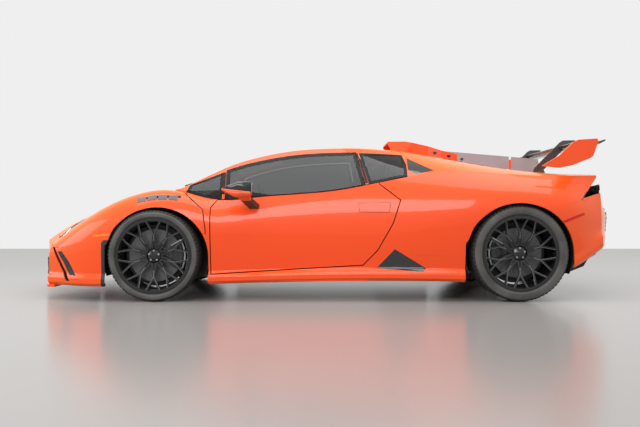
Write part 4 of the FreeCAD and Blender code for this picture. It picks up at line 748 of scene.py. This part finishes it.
def outer_loops(node_name):
    """The closed edges of the outward faces on the left side of a CAD node, as lists of (point, normal)."""
    node = frame["nodes"][node_name]
    key_of, points, normals = {}, [], []
    once = {}
    for polygon in node.data.polygons:
        normal = node.matrix_world.to_3x3() @ polygon.normal
        middle = node.matrix_world @ polygon.center
        if normal.y > -0.25 or middle.y > 0:
            continue
        ids = []
        for i in polygon.vertices:
            p = node.matrix_world @ node.data.vertices[i].co
            key = tuple(round(c, 5) for c in p)
            if key not in key_of:
                key_of[key] = len(points)
                points.append(p)
                normals.append(Vector())
            ids.append(key_of[key])
            normals[ids[-1]] += normal * polygon.area
        for a, b in zip(ids, ids[1:] + ids[:1]):
            if (b, a) in once:
                del once[(b, a)]
            else:
                once[(a, b)] = True
    following = dict(once.keys())
    loops = []
    while following:
        start = next(iter(following))
        loop, here = [], start
        while here in following:
            loop.append((points[here], normals[here].normalized()))
            here = following.pop(here)
        loops.append(loop)
    return loops


def border_ring(name, loop, width, body):
    """A flat ring of that width inside a closed edge, on both sides of the car."""
    spaced = []
    for p, n in loop:
        if not spaced or (p - spaced[-1][0]).length > LOOP_STEP:
            spaced.append((p, n))
    count = len(spaced)
    outer, inner, low = [], [], []
    for i, (p, n) in enumerate(spaced):
        before = (p - spaced[i - 1][0]).normalized()
        after = (spaced[(i + 1) % count][0] - p).normalized()
        a, b = n.cross(before).normalized(), n.cross(after).normalized()
        across = (a + b).normalized()
        reach = min(width / max(0.35, across.dot(a)), 2.2 * width)
        outer.append(p + n * BORDER_LIFT)
        inner.append(p + across * reach + n * BORDER_LIFT)
        low.append(p + across * reach - n * BORDER_SINK)
    vertices = outer + inner + low + [p - n * BORDER_SINK for p, n in spaced]
    add_pair(name, vertices, ring_faces(4, count, True), "frit", body)


def pillar_trim(end, front_edge, rear_edge):
    """A black strip on a roof pillar between two edges, each from its top to its foot."""
    plate(end + "_pillar_trim", [front_edge, rear_edge], ["roof_frame"], "chassis", "frit", BORDER_LIFT,
          look=abreast)


def glass_borders():
    """Printed black borders on the side glass, and the black strips on the pillars between the panes."""
    panes = (("door_glass", "door_glass_left", 0.024, "door_{side}"),
             ("quarter_glass", "quarter_glass", 0.022, "chassis"))
    for name, node_name, width, body in panes:
        for k, loop in enumerate(outer_loops(node_name)):
            if len(loop) > SHORTEST_LOOP:
                border_ring("%s_border_%d" % (name, k), loop, width, body)
    pillar_trim("rear", [(0.2770, 1.085), (0.3330, 0.850)], [(0.2955, 1.085), (0.3518, 0.850)])
    pillar_trim("front", [(-0.7155, 0.935), (-0.7155, 0.772)], [(-0.6990, 0.940), (-0.6990, 0.768)])


# Body details

def body_details():
    """Handles, side markers, the lens over the louvres, the cheek slots and the tail's corner lenses."""
    door = ["door_panel_{side}"]
    clam = ["front_clamshell"]
    plate("handle_recess", [[(357.9, 203.0), (391.1, 202.4)], [(359.6, 212.2), (389.7, 212.4)]], door,
          "door_{side}", "black_matte", 0.0004)
    plate("handle", [[(358.4, 203.5), (390.6, 202.9)], [(360.0, 211.7), (389.3, 211.9)]], door,
          "door_{side}", "orange_paint", 0.003, rows=4)
    plate("nose_marker", stripe([(93.5, 236.0), (109.5, 234.6)], 1.8), clam, "front_clamshell", "lamp_amber",
          0.0015)
    plate("tail_marker", stripe([(563.7, 222.0), (574.5, 217.6), (584.4, 213.6)], 2.6), ["rear_bumper"],
          "chassis", "lamp_red", 0.0015)
    crest_top = [(140.5, 199.2), (148, 196.9), (157, 195.7), (168, 195.2), (181, 195.6)]
    crest_foot = [(140.5, 199.6), (148, 199.2), (157, 198.5), (168, 198.0), (181, 197.9)]
    plate("crest_lens", [crest_top, crest_foot], clam, "front_clamshell", "frit", 0.0006, columns=30)
    cheek_slots(clam)
    plate("tail_corner_lens", [[(586.4, 191.2), (590.0, 192.2)], [(581.6, 199.8), (586.4, 201.6)]],
          ["rear_bumper", "rear_quarter_left", "rear_grille"], "chassis", "black_gloss", 0.001, columns=8)


# Corners of the panel behind the left cheek's slot, and its thickness
SLOT_FLOOR = ((-1.995, -0.712, 0.400), (-1.930, -0.755, 0.400), (-1.785, -0.830, 0.130),
              (-1.865, -0.800, 0.130))
SLOT_FLOOR_THICKNESS = 0.006
SLAT_COUNT = 6


def cheek_slots(clam):
    """The dark slot in each cheek of the nose with its slats, and the closed floor of the cut behind it."""
    slot = [[(54.6, 247.0), (58.8, 247.0)], [(63.5, 262.0), (69.0, 262.0)], [(71.5, 279.3), (77.5, 279.3)]]
    plate("cheek_slot", slot, clam, "front_clamshell", "black_matte", 0.0008, columns=8, rows=7)
    for k in range(SLAT_COUNT):
        x, y = 59.4 + 2.4 * k, 252.4 + 4.1 * k
        slat = [[(x - 1.2, y - 0.4), (x + 2.2, y - 1.2)], [(x - 1.0, y + 0.6), (x + 2.4, y - 0.2)]]
        plate("cheek_slat_%d" % k, slat, clam, "front_clamshell", "black_gloss", 0.0022, columns=4)
    floor = [Vector(p) for p in SLOT_FLOOR]
    floor += [p + Vector((0.0, SLOT_FLOOR_THICKNESS, 0.0)) for p in floor]
    sides = [(0, 3, 2, 1), (4, 5, 6, 7), (0, 1, 5, 4), (1, 2, 6, 5), (2, 3, 7, 6), (3, 0, 4, 7)]
    add_pair("cheek_slot_floor", floor, sides, "black_matte", "front_clamshell")


# The mirrors are split along a slanted plane into a black cap and a coloured shell, and from their arms
# at MIRROR_FOOT
MIRROR_SPLIT = Vector((-0.59, 0.0, 0.793))
MIRROR_SLANT = Vector((0.12, 0.0, 1.0))
MIRROR_FOOT = 0.962
# The middle of the mirror glass: its x, its distance from the car's middle, and its height
MIRROR_REAR = -0.479
MIRROR_OUT = 1.031
MIRROR_HEIGHT = 0.803


def mirror_part(name, side, cuts, material):
    """The part of a CAD mirror that is left when what lies beyond each (point, direction) is cut away."""
    node = frame["nodes"]["mirror_" + side]
    vertices = [node.matrix_world @ v.co for v in node.data.vertices]
    piece = add_piece(name + "_" + side, vertices, [tuple(p.vertices) for p in node.data.polygons], material,
                      "door_" + side)
    for point, direction in cuts:
        bisect(piece, point, direction)
    return piece


def make_mirrors():
    """Each mirror's cap, coloured lower shell, arm, bezel and glass."""
    for sign, side in SIDES:
        foot = Vector((0.0, sign * MIRROR_FOOT, 0.0))
        inwards = Vector((0.0, -sign, 0.0))
        cap = mirror_part("mirror_cap", side, [(foot, inwards), (MIRROR_SPLIT, -MIRROR_SLANT)], "black_gloss")
        mirror_part("mirror_shell", side, [(foot, inwards), (MIRROR_SPLIT, MIRROR_SLANT)], "orange_paint")
        mirror_part("mirror_arm", side, [(foot, -inwards)], "black_gloss")
        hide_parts("mirror_" + side)
        body = "door_" + side
        bezel = Vector((MIRROR_REAR, sign * MIRROR_OUT, MIRROR_HEIGHT))
        face = bezel + Vector((0.005, 0.0, 0.0))
        box_piece("mirror_bezel_" + side, bezel, (0.010, 0.118, 0.084), "black_gloss", body)
        box_piece("mirror_face_" + side, face, (0.004, 0.106, 0.073), "reflector", body, bevel=0.001)


def bisect(piece, point, normal):
    """Cuts away what lies on a plane's normal side and closes the cut."""
    inverse = piece.matrix_world.inverted()
    work = bmesh.new()
    work.from_mesh(piece.data)
    bmesh.ops.remove_doubles(work, verts=work.verts, dist=0.00001)
    everything = work.verts[:] + work.edges[:] + work.faces[:]
    result = bmesh.ops.bisect_plane(work, geom=everything, plane_co=inverse @ point,
                                    plane_no=inverse.to_3x3() @ normal, clear_outer=True)
    edges = [e for e in result["geom_cut"] if isinstance(e, bmesh.types.BMEdge)]
    bmesh.ops.holes_fill(work, edges=edges)
    work.to_mesh(piece.data)
    work.free()


# Distance between two rows of hexagons, as a share of the distance between two cells
HEXAGON_ROW = 0.866
# A cell's outer and inner radius and the reach that has to be free, as shares of the same distance
CELL_OUTER = 0.565
CELL_INNER = 0.50
CELL_REACH = 0.6
CELL_DEPTH = 0.012
CELL_BEHIND = 0.002


def hexagon(radius):
    """(across, up) of a standing hexagon's corners."""
    angles = [math.radians(60 * k + 30) for k in range(6)]
    return [(radius * math.cos(a), radius * math.sin(a)) for a in angles]


def honeycomb(name, node, others, look, reach, height, cell, body):
    """A hexagonal mesh before a dark panel, where the panel is the first thing that is seen.

    reach and height are the (low, high) limits across and up, cell the distance between two cells.
    """
    panel = surface_of(node)
    cover = surface_of(*others)
    vertices, faces = [], []
    rows = int((height[1] - height[0]) / (cell * HEXAGON_ROW)) + 1
    columns = int((reach[1] - reach[0]) / cell) + 1
    for row in range(rows):
        for column in range(columns):
            y = reach[0] + cell * (column + 0.5 * (row % 2))
            z = height[0] + cell * HEXAGON_ROW * row
            corners = [(y + across, z + up) for across, up in hexagon(CELL_REACH * cell)]
            if all(shows(panel, cover, look(place)) for place in corners + [(y, z)]):
                start, ray = look((y, z))
                middle = panel.ray_cast(start, ray)[0] - ray * CELL_BEHIND
                add_cell(vertices, faces, middle, ray, cell)
    add_piece(name, vertices, faces, "black_gloss", body)


def shows(panel, cover, line):
    """Whether a line meets the panel before it meets anything that covers it."""
    start, ray = line
    hit, _, _, far = panel.ray_cast(start, ray)
    covered, _, _, near = cover.ray_cast(start, ray)
    return hit is not None and (covered is None or near > far)


def add_cell(vertices, faces, middle, ray, cell):
    """One hexagonal tube whose axis is the line of sight."""
    start = len(vertices)
    rings = ((CELL_OUTER, 0.0), (CELL_INNER, 0.0), (CELL_INNER, CELL_DEPTH), (CELL_OUTER, CELL_DEPTH))
    for radius, depth in rings:
        for across, up in hexagon(radius * cell):
            vertices.append(middle + Vector((0, across, up)) - ray * depth)
    skin = ring_faces(4, 6, True)
    if ray.x < 0:
        skin = mirrored_faces(skin)
    faces += [tuple(start + i for i in face) for face in skin]


def make_grilles():
    """The meshes in the nose's intakes and in the tail, and the dark panel under the ducktail."""
    box_piece("tail_baffle", (2.0, 0.0, 0.825), (0.006, 1.42, 0.15), "black_matte", "chassis")
    honeycomb("nose_mesh", "nose_grilles", ["front_clamshell", "front_splitter", "headlamps"], ahead,
              (-0.80, 0.80), (0.13, 0.52), 0.030, "front_clamshell")
    covers = ["rear_bumper", "diffuser", "exhausts", "rear_deck", "rear_quarter_left", "rear_quarter_right",
              "tail_lamps"]
    honeycomb("tail_mesh", "rear_grille", covers, astern, (-0.62, 0.62), (0.33, 0.84), 0.034, "chassis")


# Cabin

# Steps along each edge of a pad before it is smoothed
PILLOW_STEPS = 26
# How boxy a pad is: 2 is an ellipsoid
PILLOW_POWER = 3.4
PILLOW_WAIST = 0.05
CHANNEL_DEPTH = 0.12
CHANNEL_SHARPNESS = 0.35


def pillow_point(corner, half, channels):
    """Where a place of a cube's grid lies on a stuffed pad."""
    p = Vector([2 * c / PILLOW_STEPS - 1 for c in corner])
    p /= sum(abs(c) ** PILLOW_POWER for c in p) ** (1 / PILLOW_POWER)
    waist = PILLOW_WAIST * (1 - p.z**2)
    pull = 1 - waist * math.cos(math.pi * p.x / 2) - waist * math.cos(math.pi * p.y / 2)
    p.x *= pull
    p.y *= pull
    if channels and p.z > 0:
        groove = abs(math.sin(math.pi * channels * (p.x + 1) / 2)) ** CHANNEL_SHARPNESS
        p.z *= 1 - CHANNEL_DEPTH + CHANNEL_DEPTH * groove
    return Vector((p.x * half.x, p.y * half.y, p.z * half.z))


def pillow(name, size, centre, tilt, channels=0, material="seat_cloth"):
    """A stuffed pad: crowned on every face, drawn in between its corners, with sewn channels on top.

    size is (length, width, height), tilt the angle by which its far end is lifted.
    """
    half = Vector(size) / 2
    turn = Matrix.Rotation(-math.radians(tilt), 3, "Y")
    vertices, index, faces = [], {}, []

    def vertex(corner):
        if corner not in index:
            index[corner] = len(vertices)
            vertices.append(Vector(centre) + turn @ pillow_point(corner, half, channels))
        return index[corner]

    for a in range(PILLOW_STEPS):
        for b in range(PILLOW_STEPS):
            for end in (0, PILLOW_STEPS):
                quads = [((end, a, b), (end, a, b + 1), (end, a + 1, b + 1), (end, a + 1, b)),
                         ((b, end, a), (b + 1, end, a), (b + 1, end, a + 1), (b, end, a + 1)),
                         ((a, b, end), (a, b + 1, end), (a + 1, b + 1, end), (a + 1, b, end))]
                for quad in quads:
                    face = tuple(vertex(corner) for corner in quad)
                    faces.append(face if end == 0 else tuple(reversed(face)))
    piece = add_piece(name, vertices, faces, material, "chassis", 80)
    finer = piece.modifiers.new("finer", "SUBSURF")
    finer.levels = 1
    finer.render_levels = 1
    return piece


# The seat shell's closed outline as (x, z), from the cushion's front edge over the back
SHELL_LINE = ((-0.36, 0.205), (-0.34, 0.30), (0.12, 0.235), (0.24, 0.44), (0.33, 0.86), (0.37, 0.90),
              (0.41, 0.86), (0.33, 0.44), (0.22, 0.20), (0.12, 0.188), (-0.30, 0.188))
SHELL_HALF_WIDTH = 0.245
# Sections across the shell: place as a share of its half width, and how far the outline shrinks there
SHELL_SECTIONS = ((-1, 0.03), (-0.93, 0.0), (0.93, 0.0), (1, 0.03))
SHELL_MIDDLE = (0.06, 0.5)
BOLSTER_OUT = 0.19
SEAT_OUT = 0.37


def seat_shell(side, y):
    """The seat's hard shell, its sides drawn in a little towards its middle."""
    vertices = []
    for share, inset in SHELL_SECTIONS:
        for x, z in SHELL_LINE:
            vertices.append(Vector((x + (SHELL_MIDDLE[0] - x) * inset, y + SHELL_HALF_WIDTH * share,
                                    z + (SHELL_MIDDLE[1] - z) * inset)))
    count = len(SHELL_LINE)
    faces = [tuple(range(count)), tuple(reversed(range(3 * count, 4 * count)))]
    faces += mirrored_faces(ring_faces(len(SHELL_SECTIONS), count, False))
    shell = add_piece("seat_shell_" + side, vertices, faces, "carbon", "chassis")
    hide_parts("seats")


def make_seat(side, y):
    """Bucket seat: hard shell with cushions, bolsters and a headrest."""
    seat_shell(side, y)
    base = pillow("seat_base_" + side, (0.44, 0.30, 0.10), (-0.10, y, 0.300), -8, 4)
    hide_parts("seats")
    pillow("seat_back_" + side, (0.10, 0.30, 0.46), (0.225, y, 0.56), 24)
    pillow("seat_head_" + side, (0.085, 0.23, 0.15), (0.335, y, 0.845), 16)
    for k, out in enumerate((-BOLSTER_OUT, BOLSTER_OUT)):
        ending = "_%d_%s" % (k, side)
        pillow("seat_thigh" + ending, (0.40, 0.075, 0.11), (-0.09, y + out, 0.325), -8)
        pillow("seat_rib" + ending, (0.15, 0.075, 0.40), (0.185, y + out, 0.55), 24)
    pillow("seat_stripe_" + side, (0.02, 0.05, 0.42), (0.168, y, 0.57), 24, material="seat_stripe")


# Blocks of the cabin: name, centre, size, finish, rounding of the edges, and whether it leans with the wheel
DASH_TILT = 20
CABIN_BLOCKS = (
    ("wheel_hub_pad", (-0.415, -0.37, 0.692), (0.03, 0.12, 0.10), "black_matte", 0.012, True),
    ("cluster_hood", (-0.62, -0.37, 0.715), (0.14, 0.30, 0.09), "black_matte", 0.02, True),
    ("cluster_screen", (-0.552, -0.37, 0.728), (0.006, 0.24, 0.06), "black_gloss", 0.002, True),
    ("centre_screen", (-0.55, 0.0, 0.66), (0.02, 0.15, 0.20), "black_gloss", 0.006, True),
    ("console", (-0.15, 0.0, 0.44), (0.62, 0.13, 0.05), "carbon", 0.012, False),
    ("console_switches", (-0.25, 0.0, 0.470), (0.20, 0.09, 0.012), "alloy", 0.003, False),
)


def make_cabin():
    """Two seats, and the blocks of the dashboard and console."""
    for sign, side in SIDES:
        make_seat(side, sign * SEAT_OUT)
    tilt = Matrix.Rotation(math.radians(DASH_TILT), 3, "Y").inverted()
    for name, centre, size, material, bevel, leans in CABIN_BLOCKS:
        box_piece(name, centre, size, material, "chassis", tilt if leans else None, bevel)


# Lamps, lid and wiper

# The left headlamp's corners from above: front and rear outer, front and rear inner
LAMP_CORNERS = ((-1.938, -0.637), (-1.772, -0.642), (-2.034, -0.438), (-1.899, -0.431))


def lamp_place(s, t):
    """(x, y) in the left headlamp, s from its front to its rear and t from its outer to its inner edge."""
    front_outer, rear_outer, front_inner, rear_inner = LAMP_CORNERS
    outer = [a + (b - a) * s for a, b in zip(front_outer, rear_outer)]
    inner = [a + (b - a) * s for a, b in zip(front_inner, rear_inner)]
    return tuple(a + (b - a) * t for a, b in zip(outer, inner))


def lamp_plate(name, lines, material, lift, columns=8):
    """A thin plate on the headlamps' lens between lines of (s, t)."""
    plate(name, [[lamp_place(*st) for st in line] for line in lines], ["headlamps"], "front_clamshell",
          material, lift, 0.0004, columns, 3, plumb)


# The bright lines of a headlamp, each between two lines of (s, t)
LAMP_LINES = {
    "lamp_line": [[(0.10, 0.06), (0.95, 0.06)], [(0.12, 0.12), (0.95, 0.12)]],
    "lamp_fork": [[(0.10, 0.06), (0.10, 0.50)], [(0.17, 0.06), (0.17, 0.50)]],
    "lamp_branch": [[(0.17, 0.38), (0.60, 0.80)], [(0.17, 0.45), (0.57, 0.84)]],
}
EYELID = [[(0.01, 0.56), (0.5, 0.80), (0.99, 0.97)], [(0.01, 0.985), (0.5, 0.985), (0.99, 0.985)]]
# Each projector's outer edge, and what its frame and eye are: margin, finish and lift
PROJECTORS = (0.22, 0.46)
PROJECTOR_PARTS = {"frame": (0.0, "reflector", 0.0010), "eye": (0.035, "black_gloss", 0.0022)}


def lamp_units():
    """Each headlamp's bright line with its fork, two square projectors, and the painted lid that slims it."""
    for name, lines in LAMP_LINES.items():
        lamp_plate(name, lines, "lamp_white", 0.0012)
    for k, t in enumerate(PROJECTORS):
        for part, (margin, material, lift) in PROJECTOR_PARTS.items():
            front, rear = 0.50 + margin, 0.86 - margin
            outer, inner = t + margin * 0.8, t + 0.20 - margin * 0.8
            lines = [[(front, outer), (rear, outer)], [(front, inner), (rear, inner)]]
            lamp_plate("lamp_%s_%d" % (part, k), lines, material, lift)
    lamp_plate("lamp_lid", EYELID, "orange_paint", 0.003, 12)


SLAT_HALF_SPAN = 0.13
SLAT_WIDTH = 0.034
# The scoop's three oval inlays in the photo: middle, width and height
SCOOP_INLAYS = (((434.8, 153.1), 3.9, 3.1), ((448.7, 156.2), 3.9, 3.1), ((461.8, 159.1), 3.2, 2.5))


def lid_details():
    """The engine lid's slats on both sides of the fin, and the dark ovals on the scoop's flanks."""
    for k in range(6):
        x, y = 1.00 + 0.085 * k, -0.40 + 0.012 * k
        bent = [(x, y - SLAT_HALF_SPAN), (x + 0.02, y), (x, y + SLAT_HALF_SPAN)]
        plate("lid_slat_%d" % k, stripe(bent, SLAT_WIDTH), ["engine_lid"], "engine_lid", "black_gloss", 0.002,
              look=plumb)
    angles = [math.pi * t / 12 for t in range(13)]
    for k, ((x, y), width, height) in enumerate(SCOOP_INLAYS):
        top = [(x + width / 2 * math.cos(a), y - height / 2 * math.sin(a)) for a in angles]
        foot = [(x + width / 2 * math.cos(a), y + height / 2 * math.sin(a)) for a in angles]
        plate("scoop_inlay_%d" % k, [top, foot], ["engine_lid", "lid_fin"], "engine_lid", "black_matte",
              0.0015, columns=13, rows=5)


def make_wiper():
    """One long wiper, parked across the foot of the windscreen."""
    blade = stripe([(-1.03, -0.52), (-0.98, -0.20), (-0.97, 0.12)], 0.012)
    arm = stripe([(-1.10, 0.02), (-1.02, -0.10), (-0.975, -0.22)], 0.018)
    for name, lines, lift, depth in (("wiper_blade", blade, 0.010, 0.001), ("wiper_arm", arm, 0.014, -0.006)):
        plate(name, lines, ["windscreen", "cowl_panels"], "chassis", "black_matte", lift, depth, look=plumb,
              both=False)


make_camera()
make_world()
make_studio()
make_materials()
dress_nodes()
make_wheels()
glass_borders()
body_details()
make_mirrors()
make_grilles()
make_cabin()
lamp_units()
lid_details()
make_wiper()
